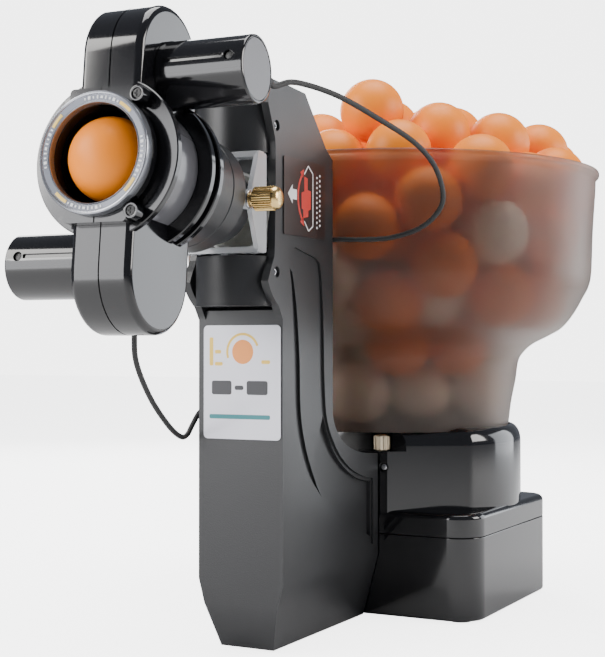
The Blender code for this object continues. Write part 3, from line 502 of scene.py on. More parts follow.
def ball_tree() -> bpy.types.NodeTree:
    """Tree that sets a ball on every point of the input, each with its own turn."""
    tree = bpy.data.node_groups.new("balls_on_points", "GeometryNodeTree")
    face = tree.interface
    face.new_socket("Geometry", in_out="INPUT", socket_type="NodeSocketGeometry")
    for label, kind, value in (("Radius", "NodeSocketFloat", 20.0), ("Segments", "NodeSocketInt", 32),
                               ("Rings", "NodeSocketInt", 20)):
        face.new_socket(label, in_out="INPUT", socket_type=kind).default_value = value
    face.new_socket("Material", in_out="INPUT", socket_type="NodeSocketMaterial")
    face.new_socket("Geometry", in_out="OUTPUT", socket_type="NodeSocketGeometry")
    nodes, links = tree.nodes, tree.links
    entry, leave = nodes.new("NodeGroupInput"), nodes.new("NodeGroupOutput")
    ball, instances = nodes.new("GeometryNodeMeshUVSphere"), nodes.new("GeometryNodeInstanceOnPoints")
    turn = nodes.new("FunctionNodeRandomValue")
    turn.data_type = "FLOAT_VECTOR"
    turn.inputs["Min"].default_value = (0, 0, 0)
    turn.inputs["Max"].default_value = (6.28, 6.28, 6.28)
    turn.inputs["Seed"].default_value = 7
    for label in ("Radius", "Segments", "Rings"):
        links.new(entry.outputs[label], ball.inputs[label])
    links.new(entry.outputs["Geometry"], instances.inputs["Points"])
    links.new(ball.outputs["Mesh"], instances.inputs["Instance"])
    links.new(turn.outputs["Value"], instances.inputs["Rotation"])
    real, paint = nodes.new("GeometryNodeRealizeInstances"), nodes.new("GeometryNodeSetMaterial")
    links.new(instances.outputs[0], real.inputs[0])
    links.new(real.outputs[0], paint.inputs["Geometry"])
    links.new(entry.outputs["Material"], paint.inputs["Material"])
    links.new(paint.outputs[0], leave.inputs[0])
    return tree


def grown(name: str, tree: bpy.types.NodeTree, points: Sequence[Point3], **values: object) -> bpy.types.Object:
    """Run a tree on loose points and return the plain mesh it makes.

    Args:
        name: name of the object.
        tree: the geometry node tree.
        points: points of the input geometry.
        **values: inputs by name, with spaces as underscores.

    Returns:
        An object whose mesh holds the realised geometry.
    """
    mesh = bpy.data.meshes.new(name)
    mesh.from_pydata([tuple(point) for point in points], [], [])
    obj = bpy.data.objects.new(name, mesh)
    bpy.context.collection.objects.link(obj)
    modifier = obj.modifiers.new("grow", "NODES")
    modifier.node_group = tree
    for label, value in values.items():
        modifier[socket_id(tree, label.replace("_", " "))] = value
    bpy.context.view_layer.update()
    result = bpy.data.meshes.new_from_object(obj.evaluated_get(bpy.context.evaluated_depsgraph_get()))
    obj.modifiers.clear()
    obj.data = result
    return obj


def knurl(piece: Piece, tree: bpy.types.NodeTree, turn: Matrix, radius: float, length: float, count: int,
          rod_radius: float) -> bpy.types.Object:
    """Grow straight knurl ridges round an axis, then finish them as a piece."""
    obj = grown(piece.name, tree, [(0, 0, 0)], Count=count, Radius=radius, Rod_Radius=rod_radius, Length=length,
                Sides=5, Material=piece.look.material())
    obj.data.transform(turn)
    return piece.finish(obj, 30)


# ---------------------------------------------------------------- stage

def build_camera() -> None:
    """Camera at the reference angle, with a long lens."""
    data = bpy.data.cameras.new("camera")
    data.sensor_fit, data.sensor_width, data.lens = "HORIZONTAL", 36.0, 80.11
    data.clip_start, data.clip_end = 0.05, 50
    obj = bpy.data.objects.new("camera", data)
    bpy.context.collection.objects.link(obj)
    obj.location = (0.3688, -0.7279, 0.1651)
    obj.rotation_euler = (math.radians(90.87), 0, math.radians(27.55))
    bpy.context.scene.camera = obj


FLOOR_GLOW = 4.0


def floor_material() -> bpy.types.Material:
    """Pale floor that glows for the camera only, so that it stays white and keeps a soft shadow."""
    made = Look("floor", (0.9, 0.9, 0.9), 0.9, variation=0.02).material()
    nodes, links = made.node_tree.nodes, made.node_tree.links
    glow, total, path = (nodes.new(kind) for kind in ("ShaderNodeEmission", "ShaderNodeAddShader",
                                                      "ShaderNodeLightPath"))
    strength = nodes.new("ShaderNodeMath")
    strength.operation = "MULTIPLY"
    strength.inputs[1].default_value = FLOOR_GLOW
    links.new(path.outputs["Is Camera Ray"], strength.inputs[0])
    links.new(strength.outputs[0], glow.inputs["Strength"])
    links.new(nodes["Principled BSDF"].outputs[0], total.inputs[0])
    links.new(glow.outputs[0], total.inputs[1])
    links.new(total.outputs[0], nodes["Material Output"].inputs["Surface"])
    return made


def build_light() -> None:
    """Pale world, a floor, and soft area lights round the object."""
    world = bpy.data.worlds.new("studio")
    world.use_nodes = True
    bpy.context.scene.world = world
    nodes, links = world.node_tree.nodes, world.node_tree.links
    back = nodes["Background"]
    back.inputs["Color"].default_value = (0.80, 0.86, 1.0, 1)
    back.inputs["Strength"].default_value = 0.22
    seen = nodes.new("ShaderNodeBackground")
    seen.inputs["Color"].default_value = (1, 1, 1, 1)
    seen.inputs["Strength"].default_value = FLOOR_GLOW + 0.5
    path, mix = nodes.new("ShaderNodeLightPath"), nodes.new("ShaderNodeMixShader")
    links.new(path.outputs["Is Camera Ray"], mix.inputs[0])
    links.new(back.outputs[0], mix.inputs[1])
    links.new(seen.outputs[0], mix.inputs[2])
    links.new(mix.outputs[0], nodes["World Output"].inputs[0])
    lights = (
        ("key_left", (-1.0, -1.1, 1.0), 0.8, 22.0, (1.0, 0.98, 0.95)),
        ("front_left", (-0.62, -1.55, 0.40), 0.8, 13.0, (0.98, 0.98, 1.0)),
        ("right_back", (0.85, 1.15, 0.34), 0.8, 7.0, (0.93, 0.96, 1.0)),
        ("side_right", (1.25, 0.35, 0.62), 0.6, 12.0, (1.0, 0.97, 0.94)),
        ("top", (0.1, 0.1, 1.5), 1.0, 20.0, (1, 1, 1)),
        ("back_left", (-0.9, 1.0, 0.8), 0.8, 14.0, (1, 1, 1)),
    )
    for name, spot, size, power, tint in lights:
        data = bpy.data.lights.new(name, "AREA")
        data.shape, data.size, data.energy, data.color = "SQUARE", size, power, tint
        lamp = bpy.data.objects.new(name, data)
        bpy.context.collection.objects.link(lamp)
        lamp.location = spot
        lamp.rotation_euler = (Vector((0, 0, 0.16)) - Vector(spot)).to_track_quat("-Z", "Y").to_euler()
    floor = link("floor", block((-6000, -6000, -20), (6000, 6000, 0)))
    floor.data.transform(Matrix.Diagonal((0.001, 0.001, 0.001, 1)))
    floor.data.materials.append(floor_material())


# ---------------------------------------------------------------- leads

@dataclass
class Lead:
    """A motor lead, swept in three lengths."""

    name: str
    node: str
    route: Sequence[Point3]
    shares: Tuple[float, float]
    radius: float = 1.45

    def tube(self, points: Sequence[Vector]) -> bmesh.types.BMesh:
        """Sweep a round section along points in metres."""
        bm = bmesh.new()
        side = Vector((0, 0, 1)).cross(points[1] - points[0]).normalized()
        rings = []
        for i, point in enumerate(points):
            along = (points[min(i + 1, len(points) - 1)] - points[max(i - 1, 0)]).normalized()
            side = (side - along * side.dot(along)).normalized()
            other = along.cross(side)
            rings.append([bm.verts.new(point + (side * math.cos(a) + other * math.sin(a)) * self.radius / 1000)
                          for a in (2 * math.pi * k / 16 for k in range(16))])
        for one, two in zip(rings, rings[1:]):
            for k in range(16):
                n = (k + 1) % 16
                bm.faces.new((one[k], one[n], two[n], two[k]))
        bm.faces.new(rings[0])
        bm.faces.new(rings[-1])
        bmesh.ops.recalc_face_normals(bm, faces=bm.faces[:])
        return bm

    def build(self) -> None:
        points = [ROW @ Vector(point) for point in smooth_line(self.route, 8)]
        reach = [0.0]
        for a, b in zip(points, points[1:]):
            reach.append(reach[-1] + (b - a).length)
        marks = [0] + [next(i for i, r in enumerate(reach) if r >= share * reach[-1]) for share in self.shares]
        marks.append(len(points) - 1)
        spans = zip(("a", "b", "c"), marks, marks[1:], (("head", "tilt"), ("tilt", "pan"), ("pan", "stand")))
        for tag, first, last, (near, far) in spans:
            run = points[first:last + 1]
            obj = link(f"{self.name}_{tag}", self.tube(run))
            obj.data.shade_smooth()
            obj.data.set_sharp_from_angle(angle=math.radians(50))
            obj.data.materials.append(RUBBER.material())
            if tag == "c":
                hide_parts(self.node)
            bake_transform(obj)


UPPER_ROUTE = (
    (61.24, -170.5, 291.03), (60.9, -164.5, 290.6), (64.5, -150.0, 294.5), (72.0, -120.0, 292.5),
    (81.1, -88.0, 284.5), (89.6, -62.0, 275.5), (94.0, -44.0, 264.6), (93.7, -31.0, 250.3),
    (88.0, -25.5, 241.1), (76.1, -24.0, 232.8), (58.5, -25.5, 228.2), (41.5, -29.5, 227.6),
    (32.0, -30.9, 228.0), (25.3, -30.9, 228.0),
)
LOWER_ROUTE = (
    (-21.03, -184.8, 202.53), (-21.4, -179.5, 201.9), (-17.5, -172.5, 192.0), (-15.0, -172.0, 176.0),
    (-15.8, -169.0, 159.0), (-20.3, -150.0, 140.5), (-25.5, -125.0, 124.7), (-30.5, -105.0, 117.3),
    (-34.5, -92.0, 117.5), (-37.0, -82.5, 122.5), (-36.0, -76.0, 129.5), (-30.4, -75.0, 131.0),
)


# ---------------------------------------------------------------- base and hopper

@dataclass
class Base:
    """Feed base: tray, lid with the hopper seat, lock screws and small fittings."""

    half_x: float = 89.0
    front: float = 31.0
    rear: float = 179.0
    corner: float = 18.0
    seam: float = 51.8
    lid: float = 66.0
    shelf: float = 102.0
    seat_r: float = 89.0

    def plan(self, inset: float = 0.0) -> List[Point2]:
        """Plan of the box, drawn in by an inset."""
        return rounded((-self.half_x + inset, self.front + inset), (self.half_x - inset, self.rear - inset),
                       self.corner - inset, 16)

    def tray(self) -> None:
        """Lower box with rounded edges."""
        shape = prism(self.plan(), Axis.Z, 1.5, self.seam - 0.3)
        soften(shape, 2.0, 4, lambda p: p.z < 1.6)
        soften(shape, 0.5, 2, lambda p: p.z > self.seam - 0.4)
        cuts = [prism(self.plan(3.0), Axis.Z, 4.2, self.seam + 5),
                rod(Axis.Y, (0, 0, 73.0), 22.8, self.front - 5, self.front + 8),
                block((-62, self.rear - 8, 14), (-48, self.rear + 5, 28)),
                block((-38, self.rear - 8, 13), (-18, self.rear + 5, 29))]
        Piece("base_box", GLOSS, "stand", replaces=("base_tray",), slot="black_gloss").build(shape, cuts=cuts,
                                                                                              bevel=0)

    def seat(self) -> bmesh.types.BMesh:
        """Solid seat: two facets and a round rear, drawn in towards the hopper axis at the shoulder."""
        plan = [(-32, self.front + 0.6), (32, self.front + 0.6)] + arc((0, HOPPER_Y), self.seat_r - 1, -32, 212, 90)
        levels = [(63.5, 0), (105, 0)] + [(105 + 11 * math.sin(a), 7.0 * (1 - math.cos(a)))
                                          for a in (math.radians(15 * k) for k in range(1, 7))]
        bm = bmesh.new()
        rings = []
        for height, inset in levels:
            share = 1 - inset / self.seat_r
            rings.append([bm.verts.new((x * share, HOPPER_Y + (y - HOPPER_Y) * share, height)) for x, y in plan])
        for one, two in zip(rings, rings[1:]):
            for i, vertex in enumerate(one):
                j = (i + 1) % len(one)
                bm.faces.new((vertex, one[j], two[j], two[i]))
        bm.faces.new(rings[0])
        bm.faces.new(rings[-1])
        bmesh.ops.recalc_face_normals(bm, faces=bm.faces[:])
        return bm

    def mouth(self) -> List[bmesh.types.BMesh]:
        """Cutters for the feed well and the way into the duct."""
        return [rod(Axis.Z, (0, HOPPER_Y, 0), 62.5, 53, 121),
                rod(Axis.Y, (0, 0, 73.0), 22.8, self.front - 8, self.front + 30)]

    def cover(self) -> None:
        """Lid of the box, then the seat with its stepped rim and the recess for the hopper foot."""
        axis = (0, HOPPER_Y, 0)
        shape = prism(self.plan(), Axis.Z, self.seam, self.lid)
        soften(shape, 3.6, 6, lambda p: p.z > self.lid - 0.1)
        soften(shape, 0.4, 2, lambda p: p.z < self.seam + 0.1)
        Piece("base_lid", GLOSS, "stand", replaces=("base_cover",), slot="black_gloss").build(
            shape, cuts=[prism(self.plan(3.0), Axis.Z, self.seam - 5, self.lid - 3)] + self.mouth(), bevel=0)
        cuts = [block((-95, -60, self.shelf), (95, 38, 140)), rod(Axis.Z, (25.5, 38.5, 0), 7, self.shelf, 140),
                rod(Axis.Z, (-25.5, 38.5, 0), 7, self.shelf, 140), rod(Axis.Z, axis, 81.2, 113.3, 121)]
        cuts += self.mouth()
        for side in (-1, 1):
            cuts.append(rod(Axis.Z, (side * 25.5, 38.5, 0), 2.3, self.shelf - 9, self.shelf + 30, 32))
            cuts.append(rod(Axis.Y, (side * 29.5, 0, 92.5), 3.2, self.front - 3, self.front + 2.2, 32))
        Piece("hopper_seat", GLOSS, "stand", slot="black_gloss").build(self.seat(), (), cuts, bevel=0.6, segments=3,
                                                                         sharp=30)
        neck = turned([(62.9, 98), (66, 98), (66, 112.2), (65.6, 112.6), (63.3, 112.6), (62.9, 112.2)], Axis.Z, axis)
        Piece("seat_neck", GLOSS, "stand", slot="black_gloss").build(neck, bevel=0)
        for side in (-1, 1):
            pin = rod(Axis.Y, (side * 29.5, 0, 92.5), 2.0, self.front + 0.9, self.front + 3.2, 32)
            Piece(f"seat_pin_{'left' if side < 0 else 'right'}", STEEL, "stand").build(pin, bevel=0.6, segments=3)

    def locks(self, tree: bpy.types.NodeTree) -> None:
        """Two brass lock screws with straight knurls."""
        for hand, side in (("right", 1), ("left", -1)):
            place = (side * 25.5, 38.5, self.shelf)
            profile = [(0, -8), (2, -8), (2, 0.3), (4.6, 0.3), (4.85, 0.7), (4.85, 9.2), (4.5, 9.8), (3.6, 10.2),
                       (0, 10.2)]
            name = f"hopper_lock_{hand}"
            Piece(f"lock_screw_{hand}", PALE_BRASS, f"lock_{hand}", replaces=(name,), slot="brass").build(
                turned(profile, Axis.Z, place, 64), bevel=0.15)
            grip = Piece(f"lock_knurl_{hand}", PALE_BRASS, f"lock_{hand}", slot="brass")
            knurl(grip, tree, Matrix.Translation((place[0], place[1], place[2] + 5.0)), 4.8, 8.0, 26, 0.38)

    def fittings(self) -> None:
        """Power socket, switch case and rocker at the rear."""
        y = self.rear
        socket = block((-61.7, y - 16, 14.3), (-48.3, y + 1.0, 27.7))
        Piece("dc_socket", FITTING, "stand", replaces=("power_socket",), slot="black_fittings").build(
            socket, cuts=[turned([(2.0, y - 9), (4.2, y - 9), (4.2, y + 3), (2.0, y + 3)], Axis.Y, (-55, 0, 21), 48)],
            bevel=0.5)
        case = block((-37.7, y - 14, 13.3), (-18.3, y - 4.2, 28.7))
        Piece("switch_case", FITTING, "stand", replaces=("power_switch_case",), slot="black_fittings").build(case)
        rocker = prism([(y - 2.6, 15.6), (y + 1.2, 16.0), (y - 0.3, 21.0), (y + 1.2, 26.0), (y - 2.6, 26.4)], Axis.X,
                       -36.4, -19.6)
        Piece("switch_rocker", FITTING, "rocker", replaces=("power_rocker",), slot="black_fittings").build(rocker)

    def build(self, tree: bpy.types.NodeTree) -> None:
        """Build the whole base."""
        self.tray()
        self.cover()
        self.locks(tree)
        self.fittings()


@dataclass
class Hopper:
    """Frosted bowl with the balls in it."""

    wall: float = 2.2
    ball_r: float = 20.0
    outer: Tuple[Point2, ...] = (
        (80.2, 117.0), (82.0, 131.0), (84.7, 144.5), (86.6, 157.0), (90.0, 163.0), (96.0, 168.4), (106.0, 173.6),
        (115.0, 179.0), (122.5, 188.0), (128.5, 198.5), (132.3, 206.0), (134.2, 216.0), (135.2, 242.0),
        (136.8, 266.0), (137.2, 275.0))
    heaped: Tuple[Point3, ...] = (
        (18, 40, 314), (54, 62, 300), (44, 22, 284), (84, 88, 295), (95, 136, 294), (90, 178, 289), (4, 14, 280),
        (-35, 75, 302), (10, 84, 309), (47, 104, 304), (62, 148, 301), (20, 130, 310), (-20, 118, 306))

    def bowl(self) -> None:
        """Turned wall with a rolled rim and an open foot."""
        line = smooth_line(self.outer, 5)
        inner = [(r - self.wall, z + 0.4) for r, z in reversed(line)]
        foot = [(77.8, 115.8), (59.4, 115.8), (59.4, 104.0), (61.6, 104.0), (61.6, 113.6), (80.0, 113.6)]
        rim = [(138.4, 277.1), (139.0, 277.3), (139.4, 278.0), (139.4, 279.4), (139.0, 280.2), (138.2, 280.5),
               (136.6, 280.5), (135.7, 280.2)]
        Piece("hopper_bowl", SMOKE, "stand", replaces=("hopper",), slot="smoky_frost").build(
            turned(line + rim + inner + foot, Axis.Z, (0, HOPPER_Y, 0), 144), bevel=0, sharp=50)

    def limit(self, z: np.ndarray) -> np.ndarray:
        """Radius open to a ball's centre at each height, a ball's radius clear of the wall."""
        line = np.array(smooth_line(self.outer, 5) + [(139.0, 330.0)])
        heights = np.arange(117.0, 330.0, 1.5)
        radii = np.interp(heights, line[:, 1], line[:, 0]) - self.wall
        reach = self.ball_r + 0.6
        gap = np.abs(z[:, None] - heights[None])
        room = radii[None] - np.sqrt(np.clip(reach ** 2 - gap ** 2, 0, None))
        return np.min(np.where(gap < reach, room, 1e3), axis=1)

    def pack(self) -> np.ndarray:
        """Spread balls through the bowl and push them apart until hardly any overlap.

        Returns:
            Ball centres, one row each, in millimetres.
        """
        rng = np.random.default_rng(11)
        held = np.array(self.heaped)
        free = []
        for k in range(6):
            z = 138.0 + k * 31.5
            room = float(self.limit(np.array([z]))[0])
            for i in range(-5, 6):
                for j in range(-5, 6):
                    x = (i + 0.5 * (j % 2) + 0.33 * (k % 2)) * 41.5
                    y = (j + 0.33 * (k % 2)) * 36.0
                    if math.hypot(x, y) <= room + 6:
                        free.append((x, y + HOPPER_Y, z))
        free = np.array([p for p in free if not len(held) or np.min(np.linalg.norm(held - p, axis=1)) > 34])
        free = free + rng.normal(0, 4.0, free.shape)
        top = self.top_limit
        for step in range(500):
            every = np.vstack([held, free])
            gap = free[:, None] - every[None]
            far = np.linalg.norm(gap, axis=2) + 1e-6
            far[np.arange(len(free)), len(held) + np.arange(len(free))] = 1e9
            push = np.clip(2 * self.ball_r + 0.2 - far, 0, None)
            free = free + 0.32 * np.sum(gap / far[:, :, None] * push[:, :, None], axis=1)
            if step < 400:
                free[:, 2] -= 0.15
            flat = free[:, :2] - (0, HOPPER_Y)
            out = np.linalg.norm(flat, axis=1)
            room = self.limit(free[:, 2])
            slope = np.clip(out - room, 0, None)
            free[:, :2] -= flat / (out[:, None] + 1e-6) * slope[:, None] * 0.8
            free[:, 2] += slope * 0.35
            free[:, 2] = np.clip(free[:, 2], 137.5, None)
            free[:, 2] = np.minimum(free[:, 2], top(free))
        return np.vstack([held, free])

    def top_limit(self, spots: np.ndarray) -> np.ndarray:
        """Highest ball centre at each place: a low heap towards the middle."""
        out = np.linalg.norm(spots[:, :2] - (0, HOPPER_Y), axis=1)
        return 292.0 - 0.16 * out

    def balls(self, tree: bpy.types.NodeTree) -> None:
        """Grow the balls: orange above, white mostly below."""
        spots = self.pack()
        mixed = np.random.default_rng(5).random(len(spots))
        white = mixed < np.interp(spots[:, 2], [135, 200, 235, 262], [0.95, 0.65, 0.45, 0.0])
        white[:len(self.heaped)] = False
        for name, look, group in (("balls_orange", ORANGE, spots[~white]), ("balls_white", BALL_WHITE, spots[white])):
            obj = grown(name, tree, [tuple(map(float, spot)) for spot in group], Radius=self.ball_r, Segments=36,
                        Rings=24, Material=look.material())
            Piece(name, look, "stand").finish(obj, 60)
            log.info("%s: %d balls", name, len(group))

    def build(self, tree: bpy.types.NodeTree) -> None:
        """Build the bowl and its balls."""
        self.bowl()
        self.balls(tree)


# ---------------------------------------------------------------- column

@dataclass
class Column:
    """Slim column with the fork for the yoke, pockets in both sides, label and decal."""

    half: float = 26.4
    cheek: float = 22.0
    front: float = -92.8
    web: float = -87.0
    back: float = 29.9
    turret_y: float = -93.0

    def outline(self) -> List[Point2]:
        """Side outline as (y, z)."""
        points = [(-85.0, 1.5), (self.front, 25.8), (self.front, 186), (self.web, 189), (self.web, 307.6),
                  (-66.8, 306.5), (-41, 279), (-32.6, 273.5)]
        points += bend((-32.6, 128), (-26.6, 103), (self.back, 101), 28)
        return points + [(self.back, 1.5)]

    def horn(self) -> List[Point2]:
        """Side outline of one cheek's front part."""
        points = [(self.front + 8, 178), (self.front, 181)]
        points += bend((-97.5, 188), (-106.5, 194), (-109.1, 201), 12)
        points += smooth_line([(-106.6, 206.5), (-103.4, 212), (-101.9, 217), (-101.2, 240), (-100.8, 268), (-101.4, 277)], 3)
        return points + [(-109.1, 295), (-105, 308), (-80, 307.2), (-80, 178)]

    @staticmethod
    def pocket() -> List[Point2]:
        """Outline of the shallow side pocket."""
        front = smooth_line([(-86.5, 214), (-82.5, 196), (-80.5, 165), (-79.5, 140), (-75.5, 118), (-63.0, 96),
                             (-44.0, 79), (-14.0, 60), (23.0, 46.0)], 4)
        rear = smooth_line([(23.0, 86.5), (4.0, 90.0), (-14.0, 97.5), (-28.0, 108), (-39.5, 124), (-43.0, 145),
                            (-44.5, 180), (-47.0, 205), (-49.0, 213.0)], 4)
        return front + rear + [(-53.0, 215.8), (-78.0, 220.5), (-84.0, 219.5)]

    @staticmethod
    def hollow() -> List[Point2]:
        """Outline of the deep pocket by the rear sweep."""
        front = smooth_line([(-42.6, 127.0), (-49.5, 113.0), (-53.5, 103.0), (-49.0, 90.5), (-36.0, 78.0),
                             (-8.0, 63.0), (21.5, 51.0)], 4)
        rear = smooth_line([(21.5, 84.5), (3.0, 88.0), (-14.5, 95.5), (-28.0, 105.5), (-38.0, 118.0)], 4)
        return front + rear

    @staticmethod
    def valley() -> List[Point2]:
        """Outline of the groove along the front of the pocket."""
        front = smooth_line([(-84.0, 210), (-81.0, 190), (-79.0, 160), (-78.0, 138), (-74.0, 118), (-62.0, 97.5),
                             (-44.0, 81)], 4)
        rear = smooth_line([(-50.0, 88.0), (-62.5, 108), (-69.5, 130), (-71.0, 160), (-74.5, 188), (-79.5, 207)], 4)
        return front + rear

    def shell(self) -> None:
        """Main moulding with fork, turrets, pockets and foot."""
        base = prism(self.outline(), Axis.X, -self.half, self.half)
        cuts, joins = [], []
        slope = (self.half - 16.0) / 39.0
        for side in (-1, 1):
            joins.append(mirror_x(prism(self.horn(), Axis.X, self.cheek, self.half), side))
            wedge = [(16.0 - 4 * slope, -4), (60, -4), (60, 39), (self.half, 39)]
            cuts.append(mirror_x(prism(wedge, Axis.Y, -120, 60), side))
            cuts.append(mirror_x(prism(self.pocket(), Axis.X, self.half - 1.4, 40), side))
            cuts.append(mirror_x(prism(self.valley(), Axis.X, self.half - 2.9, 40), side))
            cuts.append(mirror_x(prism(self.hollow(), Axis.X, self.half - 3.7, 40), side))
            for z in (284.0, 206.0):
                cuts.append(mirror_x(rod(Axis.X, (0, -99.5, z), 3.0, self.half - 1.4, 40, 32), side))
                cuts.append(mirror_x(rod(Axis.X, (0, -99.5, z), 2.4, 10, 40, 32), side))
        for low, high in ((188.0, 214.5), (269.5, 305.0)):
            disc = arc((0, self.turret_y), 24.0, -156, -24, 40)
            joins.append(prism([(-23, self.web + 1)] + disc + [(23, self.web + 1)], Axis.Z, low, high))
        inner = [(-89.8, 45.0), (-89.8, 183), (-84, 189), (-84, 304.2), (-68, 303.2), (-43, 276.5),
                 (-35.6, 271)]
        inner += bend((-35.6, 127), (-30.6, 102), (self.back + 6, 98), 14)
        inner += [(self.back + 6, 45.0)]
        cuts.append(prism([(y, z) for y, z in inner], Axis.X, -22.35, 22.35))
        cuts.append(rod(Axis.Y, (0, 0, PIVOT_Z - 3), 22.8, -130, -80))
        cuts.append(block((-7, -115, 274.5), (7, -91, 301.5)))
        for low, high in ((196, 222), (262, 280)):
            cuts.append(rod(Axis.Z, (0, PAN_Y, 0), 3.4, low, high, 32))
        Piece("column_shell", SATIN, "stand", replaces=("column_left", "column_right"), slot="black_satin").build(
            base, joins, cuts, bevel=0.7, segments=3)

    def screws(self) -> None:
        """Socket screws in the cheeks."""
        for level, z in (("upper", 284.0), ("lower", 206.0)):
            for hand, side in (("right", 1), ("left", -1)):
                head = rod(Axis.X, (0, -99.5, z), 2.15, 18, self.half - 1.3, 32)
                hexagon = [(-99.5 + y, z + z_) for y, z_ in arc((0, 0), 1.2, 0, 300, 5)]
                socket = prism(hexagon, Axis.X, self.half - 3.0, 40)
                Piece(f"cheek_bolt_{level}_{hand}", STEEL, "stand", replaces=(f"cheek_screw_{level}_{hand}",),
                      slot="steel").build(mirror_x(head, side), cuts=[mirror_x(socket, side)], bevel=0.2)

    def label(self) -> None:
        """Silver front label with a plain printed design."""
        y = self.front
        plate = prism(rounded((-22.8, 116), (25.4, 178), 2.5), Axis.Y, y - 0.8, y - 0.3)
        Piece("label_plate", SILVER, "stand", replaces=("front_label",), slot="silver_label").build(plate, bevel=0.15)
        inks = [
            ("label_ball", INK_ORANGE, arc((2.0, 163.5), 6.6, 0, 351, 39), None),
            ("label_arc", INK_YELLOW, arc((2.0, 163.5), 10.4, 20, 200, 30), arc((2.0, 163.5), 9.0, 20, 200, 30)),
            ("label_left_bar", INK_YELLOW, rounded((-19.0, 156.0), (-16.6, 171.5), 0.8, 4), None),
            ("label_left_foot", INK_YELLOW, rounded((-15.6, 156.0), (-10.6, 158.0), 0.8, 4), None),
            ("label_left_mid", INK_YELLOW, rounded((-15.6, 162.6), (-11.6, 164.6), 0.8, 4), None),
            ("label_right_bar", INK_YELLOW, rounded((13.6, 157.0), (19.0, 159.0), 0.8, 4), None),
            ("label_bar_1", INK_DARK, rounded((-17.5, 140.2), (-5.0, 147.8), 1.2, 4), None),
            ("label_bar_2", INK_DARK, rounded((-3.0, 142.8), (2.5, 145.2), 1.0, 4), None),
            ("label_bar_3", INK_DARK, rounded((4.5, 140.2), (17.5, 147.8), 1.2, 4), None),
            ("label_line", INK_TEAL, rounded((-19.0, 127.0), (19.0, 129.4), 0.8, 4), None),
        ]
        for name, look, line, hole in inks:
            if hole:
                shape = prism(line + hole[::-1], Axis.Y, y - 0.86, y - 0.78)
            else:
                shape = prism(line, Axis.Y, y - 0.86, y - 0.78)
            Piece(name, look, "stand").build(shape, bevel=0)

    def decal(self, balls: bpy.types.NodeTree) -> None:
        """Dark side decal with arrows, a plain machine sign and rows of dots."""
        x = self.half
        plate = prism(rounded((-92.8, 226.8), (-43.8, 269.0), 1.0, 4), Axis.X, x + 0.3, x + 0.7)
        Piece("decal_plate", DARK, "stand", replaces=("side_decal",), slot="dark_label").build(plate, bevel=0.1)

        def ink(name: str, look: Look, line: Sequence[Point2]) -> None:
            """Print one flat shape."""
            Piece(name, look, "stand").build(prism(line, Axis.X, x + 0.66, x + 0.76), bevel=0)

        ink("decal_arrow", INK_WHITE, [(-88.5, 249.0), (-83.2, 254.3), (-83.2, 251.9), (-78.2, 251.9), (-78.2, 246.4),
                                       (-83.2, 246.4), (-83.2, 244.0)])
        ink("decal_arc", INK_RED, arc((-58.8, 248.4), 18.7, 136, 224, 30) + arc((-58.8, 248.4), 17.1, 224, 136, 30))
        ink("decal_tip_a", INK_RED, [(-69.6, 264.2), (-70.9, 259.3), (-74.2, 261.9)])
        ink("decal_tip_b", INK_RED, [(-69.6, 232.6), (-74.2, 234.9), (-70.9, 237.5)])
        ink("decal_sign", INK_RED, [(-69.3, 260.1), (-65.5, 259.4), (-65.5, 253.0), (-61.6, 252.7), (-61.6, 242.6),
                                    (-64.7, 241.7), (-64.7, 238.2), (-70.6, 237.1), (-70.6, 241.8), (-72.6, 242.2),
                                    (-72.6, 250.9), (-69.3, 251.9)])
        path = [(-69.3, 261.4), (-64.6, 266.4), (-59.0, 262.6), (-59.0, 233.4), (-64.3, 230.4), (-69.3, 235.4)]
        for number, (one, two) in enumerate(zip(path, path[1:]), 1):
            across = Vector((one[1] - two[1], two[0] - one[0])).normalized() * 0.35
            ink(f"decal_line_{number}", INK_WHITE, [(one[0] - across.x, one[1] - across.y),
                                                    (two[0] - across.x, two[1] - across.y),
                                                    (two[0] + across.x, two[1] + across.y),
                                                    (one[0] + across.x, one[1] + across.y)])
        dots = [(x + 0.62, -54.0 + 3.6 * i, 233.0 + 2.8 * j + 1.4 * i) for i in range(2) for j in range(11)]
        obj = grown("decal_dots", balls, dots, Radius=0.75, Segments=10, Rings=6, Material=INK_WHITE.material())
        squash = Matrix.Translation((x + 0.68, 0, 0)) @ Matrix.Diagonal((0.15, 1, 1, 1)) @ Matrix.Translation(
            (-x - 0.62, 0, 0))
        obj.data.transform(squash)
        Piece("decal_dots", INK_WHITE, "stand").finish(obj)

    def trim(self) -> None:
        """Lead clip and side grommet."""
        clip = block((17.0, -32.3, 224.5), (25.0, -29.2, 231.5))
        Piece("lead_clip", RUBBER, "stand", replaces=("rear_lead_clip",), slot="black_rubber").build(
            clip, bevel=0.8, segments=3)
        grommet = turned([(0, -26.7), (3.4, -26.7), (3.4, -27.6), (2.7, -28.2), (2.6, -29.7), (0, -29.7)], Axis.X,
                         (0, -75.0, 131.0), 48)
        Piece("lead_grommet", RUBBER, "stand", replaces=("side_grommet",), slot="black_rubber").build(grommet,
                                                                                                       bevel=0.2)

    def build(self, balls: bpy.types.NodeTree) -> None:
        """Build the column and everything printed or screwed on it."""
        self.shell()
        self.screws()
        self.label()
        self.decal(balls)
        self.trim()


# ---------------------------------------------------------------- yoke and tube

